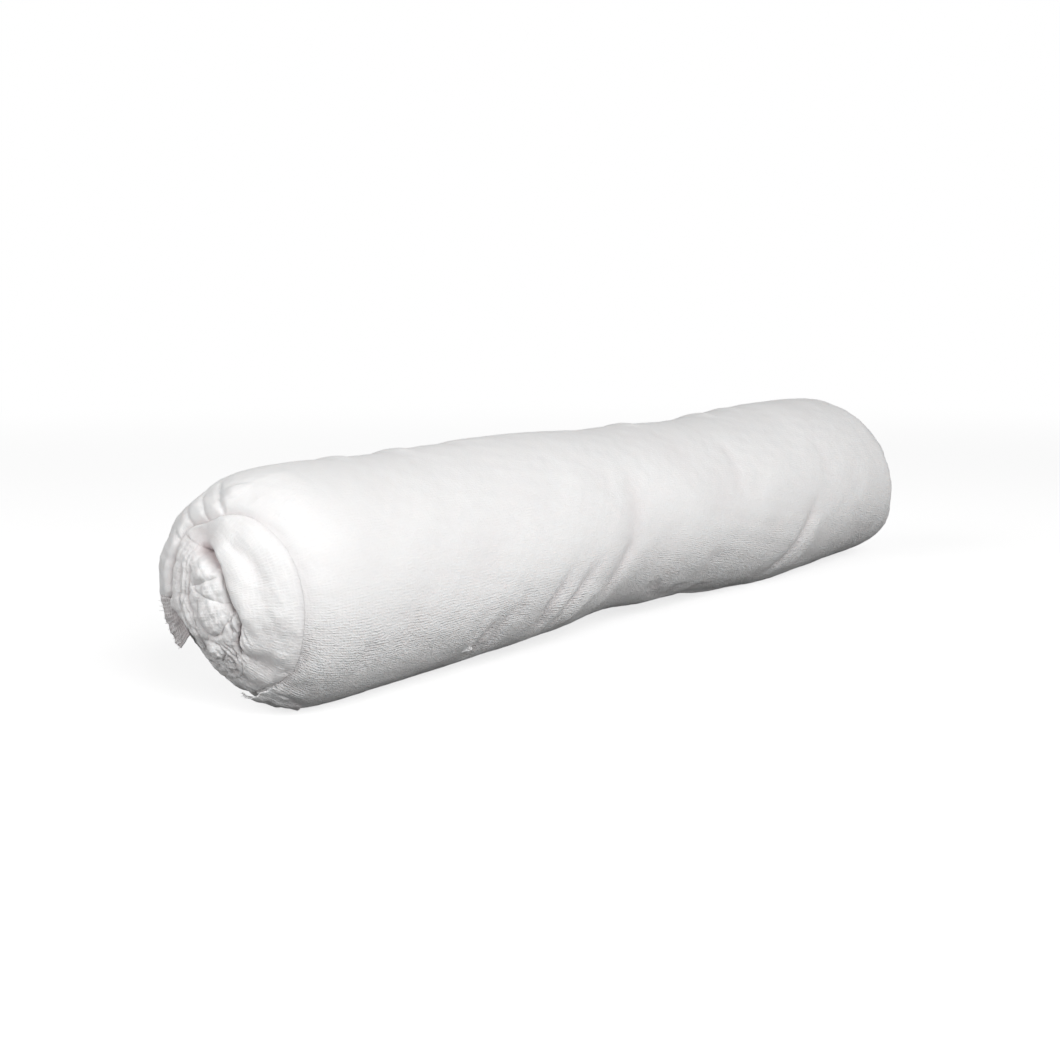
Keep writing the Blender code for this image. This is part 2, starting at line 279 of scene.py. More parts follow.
@dataclass(frozen=True)
class RollForm:
    """The plain wound form that every piece of the roll follows."""

    length: float = 450 * MM
    tip_height: float = 42.0 * MM
    far_tip_height: float = 33.5 * MM
    free_edge: float = -75.0
    step: float = 3.0 * MM
    step_width: float = 3.0 * MM
    # Degrees from the underside's middle at which the flat spot starts to fade and has faded, and
    # how fast the flat spot and the step fade towards an end's middle.
    flat_half: float = 12.5
    flat_fade: float = 24.0
    press_fade: float = 12.0
    step_fade: float = 6.0
    # Shares of the step at which the turn starts at its free edge and lies away from it.
    step_low: float = -0.9
    step_high: float = 0.1
    # The free edge's sways along the roll: their degrees, lengths and starts.
    edge_sways: tuple[tuple[float, float, float], ...] = ((1.5, 41 * MM, 0.0), (0.8, 13 * MM, 1.0))
    # The skin's broad lumps: their height, how many go round, their length along, and their start.
    lumps: tuple[tuple[float, float, float, float], ...] = (
        (0.35 * MM, 2, 31 * MM, 0.0),
        (0.3 * MM, 3, -47 * MM, 1.0),
    )
    # Place along X, radius, height of the centre, and how far the underside is pressed flat.
    sections: SmoothTable = SmoothTable(
        (
            (-225, 42.0, 42.0, 0.0), (-190, 42.6, 41.8, 0.2), (-176, 42.8, 41.7, 1.0),
            (-140, 42.2, 41.8, 1.0), (-110, 42.0, 42.4, 0.3), (-80, 42.0, 42.7, 0.0),
            (-50, 41.1, 43.3, 0.0), (-20, 39.4, 44.1, 0.0), (10, 40.6, 43.0, 0.0), (40, 40.6, 42.7, 0.2),
            (70, 42.0, 41.7, 1.0), (100, 43.2, 41.4, 1.0), (130, 43.6, 42.5, 1.0), (160, 43.4, 42.8, 1.0),
            (176, 42.6, 42.6, 0.6), (190, 41.6, 41.6, 0.4), (225, 40.4, 40.5, 0.4),
        )
    )
    # Angle, then how far the near and the far end reach in from their tips.
    reaches: SmoothTable = SmoothTable(
        (
            (-90, 45, 25), (-40, 40, 23), (0, 40, 38), (90, 40, 61), (150, 36, 52), (190, 38, 44),
            (230, 50, 32), (270, 45, 24),
        )
    )

    def wrapped(self, angle: Array) -> Array:
        """The same directions as angles from -90 to 270 degrees."""
        return (angle + 90.0) % FULL_TURN - 90.0

    def radius(self, x: Array, angle: Array, proud: Array | float = 1.0) -> Array:
        """Radius of the outer turn, with the low step of its free edge.

        Args:
            x: places along the roll, in metres.
            angle: directions round it, in degrees.
            proud: how much of the step remains, from 0 to 1.

        Returns:
            The radii, in metres.
        """
        plain = self.sections.at(x / MM, 1) * MM
        free_edge = self.free_edge
        for sway, length, start in self.edge_sways:
            free_edge = free_edge + sway * np.sin(x / length + start)
        turned = ((angle - free_edge) % FULL_TURN) / FULL_TURN
        past = turned * 2 * math.pi * plain
        round_edge = 1.0 - lip_drop(past, self.step_width)
        on_edge = past < self.step_width
        wound = np.where(on_edge, self.step_low + round_edge, self.step_high - turned**3)
        radius = plain + self.step * proud * wound
        for height, count, length, start in self.lumps:
            radius = radius + height * np.sin(np.radians(count * angle) + x / length + start)
        return radius

    def placed(self, x: Array, angle: Array, radius: Array, height: Array, press: Array) -> Array:
        """Points of the skin, pressed flat on the underside and never below the floor.

        Args:
            x: places along the roll, in metres.
            angle: directions round it, in degrees.
            radius: distances from the axis, in metres.
            height: heights of the axis, in metres.
            press: how far the underside is pressed flat, from 0 to 1.

        Returns:
            The points, one row each.
        """
        wrapped = self.wrapped(angle)
        off_bottom = np.minimum(np.abs(wrapped + 90.0), np.abs(wrapped - 270.0))
        flat = press * (1.0 - smooth_step(self.flat_half, self.flat_fade, off_bottom))
        turn = np.radians(angle)
        z = (height + radius * np.sin(turn)) * (1.0 - flat)
        return np.column_stack([x, -radius * np.cos(turn), np.maximum(z, 0.0)])

    def pressed(self, x: Array) -> Array:
        """How far each section's underside is pressed flat, from 0 to 1."""
        return np.clip(self.sections.at(x / MM, 3), 0.0, 1.0)

    def reach(self, side: Side, angle: Array) -> Array:
        """How far an end's dome reaches in from its tip, in metres."""
        return self.reaches.at(self.wrapped(angle), 1 if side is Side.NEAR else 2) * MM

    def barrel(self, x: Array, angle: Array, lift: Array | float = 0.0) -> Array:
        """Points of the barrel, raised off it by lift."""
        height = self.sections.at(x / MM, 2) * MM
        return self.placed(x, angle, self.radius(x, angle) + lift, height, self.pressed(x))

    def dome(self, side: Side, angle: Array, share: Array, lift: Array | float = 0.0) -> Array:
        """Points of a domed end.

        Args:
            side: which end.
            angle: directions round the roll, in degrees.
            share: distances from the axis, as shares of the shoulder's radius.
            lift: heights over the dome along its normal, in metres.

        Returns:
            The points, one row each.
        """
        reach = self.reach(side, angle)
        shoulder = side.value * (self.length / 2 - reach)
        full = self.radius(shoulder, angle, share**self.step_fade)
        shoulder_height = self.sections.at(shoulder / MM, 2) * MM
        tip = self.tip_height if side is Side.NEAR else self.far_tip_height
        height = tip + (shoulder_height - tip) * share
        rise = np.sqrt(np.clip(1.0 - share**2, 0.0, 1.0))
        along, out = rise / reach, share / full
        size = np.hypot(along, out)
        x = side.value * (self.length / 2 - reach * (1.0 - rise) + lift * along / size)
        press = self.pressed(shoulder) * share**self.press_fade
        return self.placed(x, angle, share * full + lift * out / size, height, press)


@dataclass
class Piece:
    """A mesh in the making: a grid of faces whose points are placed by arrays."""

    name: str
    slot: str
    mesh: bmesh.types.BMesh = field(default_factory=bmesh.new)

    def __post_init__(self) -> None:
        """Add the layers for the weave and for the painted shade of the creases."""
        self.weave = self.mesh.loops.layers.uv.new("UVMap")
        self.crease_shade = self.mesh.verts.layers.float.new("crease_shade")

    def add_grid(self, columns: int, rows: int) -> tuple[list, Array, Array]:
        """Add a grid of faces.

        Args:
            columns: faces along it.
            rows: faces across it.

        Returns:
            Its vertices, with the column and the row of each.
        """
        made = bmesh.ops.create_grid(self.mesh, x_segments=columns, y_segments=rows, size=1.0)
        verts = made["verts"]
        flat = np.array([vert.co[:2] for vert in verts])
        column = np.rint((flat[:, 0] + 1.0) / 2.0 * columns).astype(int)
        row = np.rint((flat[:, 1] + 1.0) / 2.0 * rows).astype(int)
        return verts, column, row

    def place(self, verts: list, points: Array) -> None:
        """Move vertices to their points."""
        for vert, point in zip(verts, points):
            vert.co = point

    def write_weave(self, verts: list, weave: Array, wrap: float = 0.0) -> None:
        """Give the faces of these vertices their place in the cloth, before any weld.

        Args:
            verts: the vertices.
            weave: their places in the flat cloth, in metres.
            wrap: the length after which the first place starts again, or 0 where it never does.
        """
        for vert, uv in zip(verts, weave):
            for loop in vert.link_loops:
                loop[self.weave].uv = uv
        if wrap:
            for face in self.mesh.faces:
                places = [loop[self.weave].uv for loop in face.loops]
                highest = max(place.x for place in places)
                for place in places:
                    if highest - place.x > wrap / 2:
                        place.x += wrap

    def write_crease_shade(self, verts: list, depth: Array) -> None:
        """Note how much painted shade each vertex gets from lying deep in a crease, from 0 to 1."""
        for vert, value in zip(verts, depth):
            vert[self.crease_shade] = float(value)

    def finish(self, finish: "GauzeFinish", weld: float = 0.002 * MM) -> bpy.types.Object:
        """Close the mesh, turn its faces outwards and make its object.

        Args:
            finish: the cloth that it is made of.
            weld: the distance within which points become one.

        Returns:
            The object, at the origin.
        """
        bmesh.ops.remove_doubles(self.mesh, verts=self.mesh.verts[:], dist=weld)
        bmesh.ops.recalc_face_normals(self.mesh, faces=self.mesh.faces[:])
        data = bpy.data.meshes.new(self.name)
        self.mesh.to_mesh(data)
        self.mesh.free()
        data.shade_smooth()
        data.materials.append(finish.material())
        obj = bpy.data.objects.new(self.name, data)
        bpy.context.scene.collection.objects.link(obj)
        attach(obj, "root")
        LOG.info("%s: %d faces", self.name, len(data.polygons))
        return obj


@dataclass(frozen=True)
class Grain:
    """One noise of the cloth: how many grains lie in a metre, and their detail."""

    scale: float
    detail: float = 2.0


class Nodes:
    """Builds a material's nodes from plain calls."""

    def __init__(self, material: bpy.types.Material) -> None:
        """Start from a material's own shader."""
        self.tree = material.node_tree
        self.shader = self.tree.nodes["Principled BSDF"]

    def add(self, kind: str, **settings: object) -> bpy.types.Node:
        """Add a node and set its properties."""
        node = self.tree.nodes.new(kind)
        for name, value in settings.items():
            setattr(node, name, value)
        return node

    def feed(self, socket: Socket, value: object) -> None:
        """Link a socket to another, or set its value."""
        if isinstance(value, Socket):
            self.tree.links.new(value, socket)
        else:
            socket.default_value = value

    def math(self, operation: str, *values: object) -> Socket:
        """Add a Math node and return its output."""
        node = self.add("ShaderNodeMath", operation=operation)
        for socket, value in zip(node.inputs, values):
            self.feed(socket, value)
        return node.outputs[0]

    def noise(self, vector: Socket, grain: Grain) -> Socket:
        """Add a noise texture and return its value, about 0 to 1."""
        node = self.add("ShaderNodeTexNoise")
        self.feed(node.inputs["Vector"], vector)
        node.inputs["Scale"].default_value = grain.scale
        node.inputs["Detail"].default_value = grain.detail
        return node.outputs["Fac"]

    def stretched(self, vector: Socket, scale: tuple[float, ...]) -> Socket:
        """Add a mapping that stretches a vector."""
        node = self.add("ShaderNodeMapping", vector_type="POINT")
        self.feed(node.inputs["Vector"], vector)
        node.inputs["Scale"].default_value = scale
        return node.outputs[0]

    def ramp(self, value: Socket, start: tuple[float, float], stop: tuple[float, float]) -> Socket:
        """Go smoothly from one value to another.

        Args:
            value: what is followed.
            start: a place of it, and the result there.
            stop: another place, and the result there.

        Returns:
            The result's socket.
        """
        node = self.add("ShaderNodeMapRange", interpolation_type="SMOOTHSTEP")
        self.feed(node.inputs["Value"], value)
        for name, number in zip(("From Min", "To Min", "From Max", "To Max"), start + stop):
            node.inputs[name].default_value = number
        return node.outputs["Result"]

    def mix(self, share: object, first: object, second: object) -> Socket:
        """Mix two colours and return the result."""
        node = self.add("ShaderNodeMix", data_type="RGBA")
        self.feed(node.inputs["Factor"], share)
        self.feed(node.inputs[6], first)
        self.feed(node.inputs[7], second)
        return node.outputs[2]


@dataclass(frozen=True)
class GauzeFinish:
    """Open cotton gauze over soft wool: its thread spacing, relief and colours."""

    name: str
    along_pitch: float = 1.3 * MM
    round_pitch: float = 1.05 * MM
    thread_relief: float = 0.11 * MM
    cross_threads: float = 0.7
    gap_share: float = 0.14
    lump_relief: float = 0.45 * MM
    fuzz_relief: float = 0.09 * MM
    fibre_relief: float = 0.26 * MM
    waver: float = 0.35
    # Heights over the floor, each with the strength of the fine relief there.
    strong: tuple[float, float] = (14 * MM, 2.9)
    calm: tuple[float, float] = (48 * MM, 0.45)
    # The threads' colour, and the wool's own colour seen in the gaps between them, darkened with painted
    # shade of the gaps.
    thread_colour: Colour = (0.93, 0.925, 0.92, 1.0)
    wool_and_gap_shade_colour: Colour = (0.83, 0.82, 0.82, 1.0)
    # Painted shade in the creases: its pinkish grey, and how much of it the deepest crease gets.
    crease_shade_colour: Colour = (0.74, 0.66, 0.66, 1.0)
    crease_shade_share: float = 0.85
    # The roughness, and how far the fuzz changes it.
    roughness: float = 0.92
    rough_change: float = 0.1
    sheen: float = 0.25
    sheen_roughness: float = 0.6
    specular: float = 0.2
    softness: float = 0.25
    soft_depth: float = 3.0 * MM
    soft_colour: tuple[float, float, float] = (1.0, 0.9, 0.85)
    # The noises of the fuzz, the fibres, the lumps and the blotches, and how the fibres are drawn out.
    fuzz: Grain = Grain(2600.0, 3.0)
    fibres: Grain = Grain(1250.0)
    lumps: Grain = Grain(85.0, 3.0)
    blotches: Grain = Grain(28.0)
    combing: tuple[float, float, float] = (1.0, 0.45, 1.0)
    # The noises that shift the threads a little and far, with the far shift in threads.
    near_shift: Grain = Grain(260.0)
    far_shift: Grain = Grain(34.0, 1.0)
    drift: float = 5.0
    # How narrow a thread is, and how uneven each is: a noise drawn out along it, its range and low.
    thread_power: float = 1.4
    thread_grain: Grain = Grain(700.0, 1.0)
    thread_stretches: tuple[tuple[float, float, float], ...] = ((1.0, 0.5, 1.0), (0.5, 1.0, 1.0))
    thread_range: float = 2.4
    thread_low: float = -0.4
    # The patches in which the threads lie bare or sunk: their noise, its range and its low.
    patches: Grain = Grain(70.0)
    patch_range: float = 1.0
    patch_low: float = 0.3

    def material(self) -> bpy.types.Material:
        """The finish's material, made once."""
        return bpy.data.materials.get(self.name) or self.build()

    def build(self) -> bpy.types.Material:
        """Make the material: crossing threads, slow colour change, painted shade in the creases and fine
        fuzz.
        """
        material = bpy.data.materials.new(self.name)
        material.use_nodes = True
        nodes = Nodes(material)
        cloth = nodes.add("ShaderNodeUVMap", uv_map="UVMap").outputs[0]
        solid = nodes.add("ShaderNodeTexCoord").outputs["Object"]
        strength = self.strength(nodes, solid)
        weave = self.weave_height(nodes, cloth)
        fuzz = nodes.noise(solid, self.fuzz)
        fibres = nodes.noise(nodes.stretched(cloth, self.combing), self.fibres)
        lumps = nodes.noise(solid, self.lumps)
        blotches = nodes.noise(solid, self.blotches)
        # The painted crease shade that the mesh carries, from 0 to 1.
        crease_shade = nodes.add("ShaderNodeAttribute", attribute_name="crease_shade").outputs["Fac"]
        # The gaps between the threads get the wool's colour with painted shade.
        threads = nodes.math("MULTIPLY", weave, self.gap_share)
        threads = nodes.math("MULTIPLY_ADD", blotches, 1.0 - self.gap_share, threads)
        cotton = nodes.mix(threads, self.wool_and_gap_shade_colour, self.thread_colour)
        deep = nodes.math("MULTIPLY", crease_shade, self.crease_shade_share)
        colour = nodes.mix(deep, cotton, self.crease_shade_colour)
        nodes.feed(nodes.shader.inputs["Base Color"], colour)
        smoothest = self.roughness - self.rough_change / 2
        rough = nodes.math("MULTIPLY_ADD", fuzz, self.rough_change, smoothest)
        nodes.feed(nodes.shader.inputs["Roughness"], rough)
        bump = self.bump(nodes, nodes.math("MULTIPLY", weave, strength), self.thread_relief, None)
        bump = self.bump(nodes, nodes.math("MULTIPLY", fibres, strength), self.fibre_relief, bump)
        bump = self.bump(nodes, lumps, self.lump_relief, bump)
        bump = self.bump(nodes, nodes.math("MULTIPLY", fuzz, strength), self.fuzz_relief, bump)
        nodes.feed(nodes.shader.inputs["Normal"], bump)
        self.set_constants(nodes.shader)
        return material

    def strength(self, nodes: Nodes, solid: Socket) -> Socket:
        """How strong the relief is at each point of the cloth, 1 for its plain strength."""
        split = nodes.add("ShaderNodeSeparateXYZ")
        nodes.feed(split.inputs[0], solid)
        return nodes.ramp(split.outputs[2], self.strong, self.calm)

    def weave_height(self, nodes: Nodes, cloth: Socket) -> Socket:
        """Height of the crossing threads.

        Args:
            nodes: the material's nodes.
            cloth: each point's place in the flat cloth.

        Returns:
            The height's socket, from 0 in the gaps to 1 on a thread.
        """
        split = nodes.add("ShaderNodeSeparateXYZ")
        nodes.feed(split.inputs[0], cloth)
        waver = nodes.noise(cloth, self.near_shift)
        drift = nodes.math("MULTIPLY", nodes.noise(cloth, self.far_shift), self.drift)
        shift = nodes.math("MULTIPLY_ADD", waver, self.waver * 2, drift)
        ribs = []
        for number, pitch in enumerate((self.round_pitch, self.along_pitch)):
            phase = nodes.math("MULTIPLY_ADD", split.outputs[number], 1.0 / pitch, shift)
            wave = nodes.math("COSINE", nodes.math("MULTIPLY", phase, 2 * math.pi))
            rib = nodes.math("POWER", nodes.math("MULTIPLY_ADD", wave, 0.5, 0.5), self.thread_power)
            drawn = nodes.stretched(cloth, self.thread_stretches[number])
            grain = nodes.noise(drawn, self.thread_grain)
            uneven = nodes.math("MULTIPLY_ADD", grain, self.thread_range, self.thread_low)
            ribs.append(nodes.math("MULTIPLY", rib, uneven))
        woven = nodes.math("MAXIMUM", ribs[0], nodes.math("MULTIPLY", ribs[1], self.cross_threads))
        bare = nodes.noise(cloth, self.patches)
        patches = nodes.math("MULTIPLY_ADD", bare, self.patch_range, self.patch_low)
        return nodes.math("MULTIPLY", woven, patches)

    def bump(self, nodes: Nodes, height: Socket, relief: float, under: Socket | None) -> Socket:
        """Add relief on top of other relief.

        Args:
            nodes: the material's nodes.
            height: the relief's height, from 0 to 1.
            relief: its full height, in metres.
            under: the normal of the relief under it, or None.

        Returns:
            The new normal's socket.
        """
        node = nodes.add("ShaderNodeBump")
        node.inputs["Strength"].default_value = 1.0
        node.inputs["Distance"].default_value = relief
        nodes.feed(node.inputs["Height"], height)
        if under is not None:
            nodes.feed(node.inputs["Normal"], under)
        return node.outputs[0]

    def set_constants(self, shader: bpy.types.Node) -> None:
        """Set what is the same all over the cloth."""
        shader.inputs["Sheen Weight"].default_value = self.sheen
        shader.inputs["Sheen Roughness"].default_value = self.sheen_roughness
        shader.inputs["Specular IOR Level"].default_value = self.specular
        shader.inputs["Subsurface Weight"].default_value = self.softness
        shader.inputs["Subsurface Radius"].default_value = self.soft_colour
        shader.inputs["Subsurface Scale"].default_value = self.soft_depth


@dataclass(frozen=True)
class OuterTurn:
    """The outer turn: the whole barrel, and at both ends its rounded edge and the wall inside it."""

    form: RollForm
    finish: GauzeFinish
    columns: int = 300
    barrel_rows: int = 205
    near_rows: int = 70
    far_rows: int = 20
    wall_rows: int = 3
    wall_depth: float = 12.0 * MM
    # How much closer the rows lie towards the near end's lip, the near end and the far end's lip.
    near_closing: float = 1.2
    barrel_closing: float = 1.25
    far_closing: float = 1.25
    # Shares of the radius over which the sunk part starts, and over which it ends.
    sunk_from: tuple[float, float] = (0.22, 0.46)
    sunk_to: tuple[float, float] = (0.86, 1.0)
    # The swelling beside the lip: how much sooner than the shoulder it ends, and how narrow it is.
    crown_reach: float = 1.15
    crown_power: float = 1.2
    # The share of the end over which the puffs rise from the lip, and how soft creases calm them.
    puff_start: float = 0.2
    soft_calm: float = 0.7
    puffs: Waves = Waves(11, 12 * MM, height=0.55 * MM)
    puckers: Waves = Waves(12, 4.5 * MM, height=0.16 * MM)
    # The barrel's unevenness, drawn out round the roll, and the share over which it fades at its ends.
    rolls: Waves = Waves(21, 26 * MM, height=0.22 * MM)
    crinkles: Waves = Waves(22, 7 * MM, height=0.07 * MM)
    roll_stretch: tuple[float, float, float] = (1.0, 0.6, 0.6)
    end_fade: float = 0.05
    # Depths at which the painted shade of a crease is darkest, on an end and on the barrel.
    end_full_shade_depth: float = 3.6 * MM
    barrel_full_shade_depth: float = 4.0 * MM
    fill: float = 0.7
    # Angle, the share of the radius at which the near edge lies, the depth and the width of the
    # crease inside it, how soft that crease is, how far the edge swells, and how far it is sunk.
    near_edge: SmoothTable = SmoothTable(
        (
            (-90, 0.900, 2.0, 4.0, 0.5, 0.2, 2.4), (-82, 0.850, 1.8, 3.0, 0.3, 0.2, 1.6),
            (-75, 0.800, 1.6, 2.6, 0.1, 0.6, 0.6), (-62, 0.790, 1.7, 2.6, 0.1, 0.7, 0.2),
            (-50, 0.820, 1.8, 3.4, 0.5, 0.6, 0.0), (-38, 0.840, 1.6, 4.6, 0.9, 0.5, 0.0),
            (-14, 0.827, 1.0, 5.0, 1.0, 0.3, 0.0), (6, 0.820, 0.9, 5.0, 1.0, 0.2, 0.0),
            (33, 0.800, 1.1, 5.0, 1.0, 0.3, 0.0), (48, 0.772, 1.4, 4.6, 0.9, 0.6, 0.0),
            (62, 0.750, 1.9, 3.6, 0.5, 1.0, 0.0), (74, 0.722, 2.6, 3.0, 0.1, 1.6, 0.0),
            (84, 0.685, 3.0, 2.8, 0.0, 1.5, 0.0), (92, 0.655, 3.2, 3.0, 0.1, 1.2, 0.0),
            (100, 0.640, 3.4, 3.4, 0.2, 1.2, 0.0), (114, 0.645, 3.6, 3.2, 0.1, 1.0, 0.0),
            (124, 0.640, 4.0, 3.0, 0.0, 0.8, 0.0), (131, 0.585, 4.4, 3.4, 0.0, 1.0, 0.0),
            (140, 0.530, 4.8, 3.8, 0.0, 1.4, 0.0), (151, 0.510, 5.0, 4.2, 0.0, 1.6, 0.0),
            (164, 0.455, 5.0, 4.4, 0.0, 1.6, 0.0), (178, 0.420, 4.8, 4.2, 0.0, 1.2, 0.0),
            (187, 0.470, 4.4, 3.6, 0.0, 0.8, 0.0), (195, 0.560, 3.8, 3.2, 0.0, 0.4, 0.2),
            (206, 0.660, 3.4, 3.2, 0.1, 0.2, 1.2), (218, 0.740, 3.0, 3.4, 0.3, 0.2, 2.2),
            (235, 0.820, 2.4, 4.0, 0.5, 0.2, 2.3), (255, 0.890, 2.0, 4.0, 0.5, 0.2, 1.6),
            (270, 0.900, 2.0, 4.0, 0.5, 0.2, 2.4),
        )
    )
    far_edge: SmoothTable = SmoothTable(
        (
            (-90, 0.84, 3.0, 3.4, 0.0, 0.4, 0.0), (-10, 0.82, 3.0, 3.4, 0.0, 0.8, 0.0),
            (78, 0.79, 3.0, 3.4, 0.0, 1.2, 0.0), (180, 0.82, 3.0, 3.4, 0.0, 0.8, 0.0),
            (270, 0.84, 3.0, 3.4, 0.0, 0.4, 0.0),
        )
    )
    barrel_folds: tuple[Fold, ...] = (
        Fold(((-25, 66), (-28, 21), (-31, 3), (-37, -12), (-43, -24), (-45, -42)), 0.75, 6.0),
        Fold(((-31, 0), (-37, -14), (-43, -26), (-46, -44)), 0.7, 3.0),
        Fold(((-36, 52), (-42, 35), (-46, 20)), 0.35, 4.0),
        Fold(((-57, 74), (-51, 48), (-45, 22)), 0.3, 5.0),
        Fold(((54, 56), (52, 30), (49, 4)), 0.45, 4.5),
        Fold(((118, 8), (112, -6), (108, -18), (104, -26), (101, -34), (96, -44), (94, -62)), 1.5, 3.6),
        Fold(((120, -6), (117, -18), (116, -30), (113, -42), (113, -58)), -0.8, 4.5),
        Fold(((-114, -18), (-117, -30), (-119, -42), (-119, -56), (-120, -66)), 1.4, 2.8, fade=0.4),
        Fold(((-108, -18), (-111, -30), (-112, -44), (-113, -66)), 1.3, 2.8, fade=0.4),
        Fold(((-124, -16), (-126, -26), (-127, -38)), 0.5, 2.4),
        Fold(((-101, -12), (-103, -20), (-104, -34)), 0.6, 2.6),
        Fold(((-72, -2), (-80, -18), (-84, -30), (-84, -42), (-86, -58)), 1.6, 3.2, fade=0.4),
        Fold(((-54, -4), (-64, -20), (-71, -34), (-76, -58)), 1.6, 3.2, fade=0.4),
        Fold(((-70, -16), (-76, -28), (-79, -42)), -0.6, 3.0),
        Fold(((-52, -22), (-61, -38), (-66, -52)), -0.7, 3.6),
        Fold(((124, 44), (128, 26), (129, 12)), 0.4, 4.5),
        Fold(((158, -4), (163, -24), (174, -44)), 0.55, 4.0),
        Fold(((-180, -18), (-189, -34), (-192, -44)), 0.8, 5.0),
        Fold(((24, -8), (34, -26), (32, -50)), 0.4, 5.0),
        Fold(((-8, -36), (2, -50), (14, -62)), 0.7, 3.6),
        Fold(((44, -24), (36, -28), (27, -23)), 0.4, 4.0),
        Fold(((41, -50), (42, -75)), 0.8, 4.5),
        Fold(((19, -44), (18, -66)), 0.8, 4.5),
        Fold(((-28, 100), (-31, 150), (-34, 210)), 1.0, 6.0),
        Fold(((95, 110), (100, 150), (106, 195)), 0.8, 6.0),
        Fold(((-125, 118), (-122, 165), (-120, 215)), 0.8, 6.0),
        Fold(((-70, 150), (-62, 190), (-64, 230)), 0.6, 4.5),
        Fold(((40, 130), (47, 175), (44, 220)), 0.6, 5.0),
        Fold(((150, 140), (156, 190)), 0.7, 5.0),
        Fold(((78, 78), (82, 106), (86, 150)), -1.1, 4.0),
        Fold(((-126, 76), (-126, 106), (-129, 146)), -0.9, 3.2),
        Fold(((-101, 76), (-99, 108), (-96, 150)), 0.6, 3.6),
        Fold(((-158, 76), (-159, 106), (-155, 142)), -0.8, 3.2),
        Fold(((19, 76), (18, 106), (21, 148)), -0.9, 3.2),
        Fold(((106, 76), (105, 108), (101, 150)), -0.8, 3.4),
    )
    near_folds: tuple[Fold, ...] = (
        Fold(((83, 0.68), (91, 0.745), (99, 0.82), (108, 0.91)), 1.9, 2.6, Relief.SHARP, 0.15),
        Fold(((82, 0.77), (88, 0.86)), -0.8, 4.0),
        Fold(((96, 0.62), (103, 0.68), (110, 0.78), (115, 0.86)), 1.2, 2.6, Relief.SHARP),
        Fold(((116, 0.62), (119, 0.68), (123, 0.76), (128, 0.83)), 1.4, 2.6, Relief.SHARP),
        Fold(((132, 0.57), (134, 0.66), (139, 0.74)), 1.5, 2.6, Relief.SHARP),
        Fold(((145, 0.72), (160, 0.64), (176, 0.60)), -0.4, 5.0),
        Fold(((189, 0.46), (189, 0.56), (193, 0.70), (197, 0.82)), 2.2, 2.8, Relief.SHARP, 0.2),
        Fold(((166, 0.62), (170, 0.74)), 0.4, 3.0),
        Fold(((226, 0.79), (229, 0.90)), 1.0, 3.0),
        Fold(((252, 0.88), (250, 0.96)), 0.8, 3.0),
        Fold(((-56, 0.80), (-50, 0.87), (-44, 0.94)), 0.7, 3.5),
        Fold(((-66, 0.80), (-64, 0.88), (-62, 0.95)), 0.6, 2.6),
        Fold(((-30, 0.84), (-27, 0.92)), 0.35, 3.5),
        Fold(((20, 0.82), (23, 0.90)), 0.25, 3.5),
        Fold(((50, 0.77), (52, 0.86)), 0.3, 3.5),
    )

    def stations(self) -> list[tuple[str, float]]:
        """The rows of the skin from the near pocket to the far one, each with its place from 0 to 1."""
        rows: list[tuple[str, float]] = [("near_floor", q) for q in (0.0, 0.6)]
        rows += [("near_wall", 1.0 - i / self.wall_rows) for i in range(self.wall_rows)]
        rows += [("near_dome", (i / self.near_rows) ** self.near_closing) for i in range(self.near_rows)]
        barrel = [(i / self.barrel_rows) ** self.barrel_closing for i in range(self.barrel_rows + 1)]
        rows += [("barrel", place) for place in barrel]
        far = [1.0 - (i / self.far_rows) ** self.far_closing for i in range(self.far_rows - 1, -1, -1)]
        rows += [("far_dome", place) for place in far]
        rows += [("far_wall", (i + 1) / self.wall_rows) for i in range(self.wall_rows)]
        rows += [("far_floor", q) for q in (0.6, 0.0)]
        return rows

    def edge(self, side: Side, angle: Array) -> dict[str, Array]:
        """Read the edge's table at angles.

        Args:
            side: which end.
            angle: directions round the roll, in degrees.

        Returns:
            The share at which the edge lies, and the crease's depth, width and softness, the
            swelling and the sinking there, lengths in metres.
        """
        table = self.near_edge if side is Side.NEAR else self.far_edge
        wrapped = self.form.wrapped(angle)
        names = ("share", "depth", "width", "soft", "swell", "sunk")
        values = {name: table.at(wrapped, number) for number, name in enumerate(names, 1)}
        for name in ("depth", "width", "swell", "sunk"):
            values[name] = values[name] * MM
        values["soft"] = np.clip(values["soft"], 0.0, 1.0)
        return values

    def sinking(self, edge: dict[str, Array], share: Array) -> Array:
        """How far the end is pushed in low at its back, in metres."""
        fade = smooth_step(*self.sunk_from, share) * (1.0 - smooth_step(*self.sunk_to, share))
        return edge["sunk"] * fade

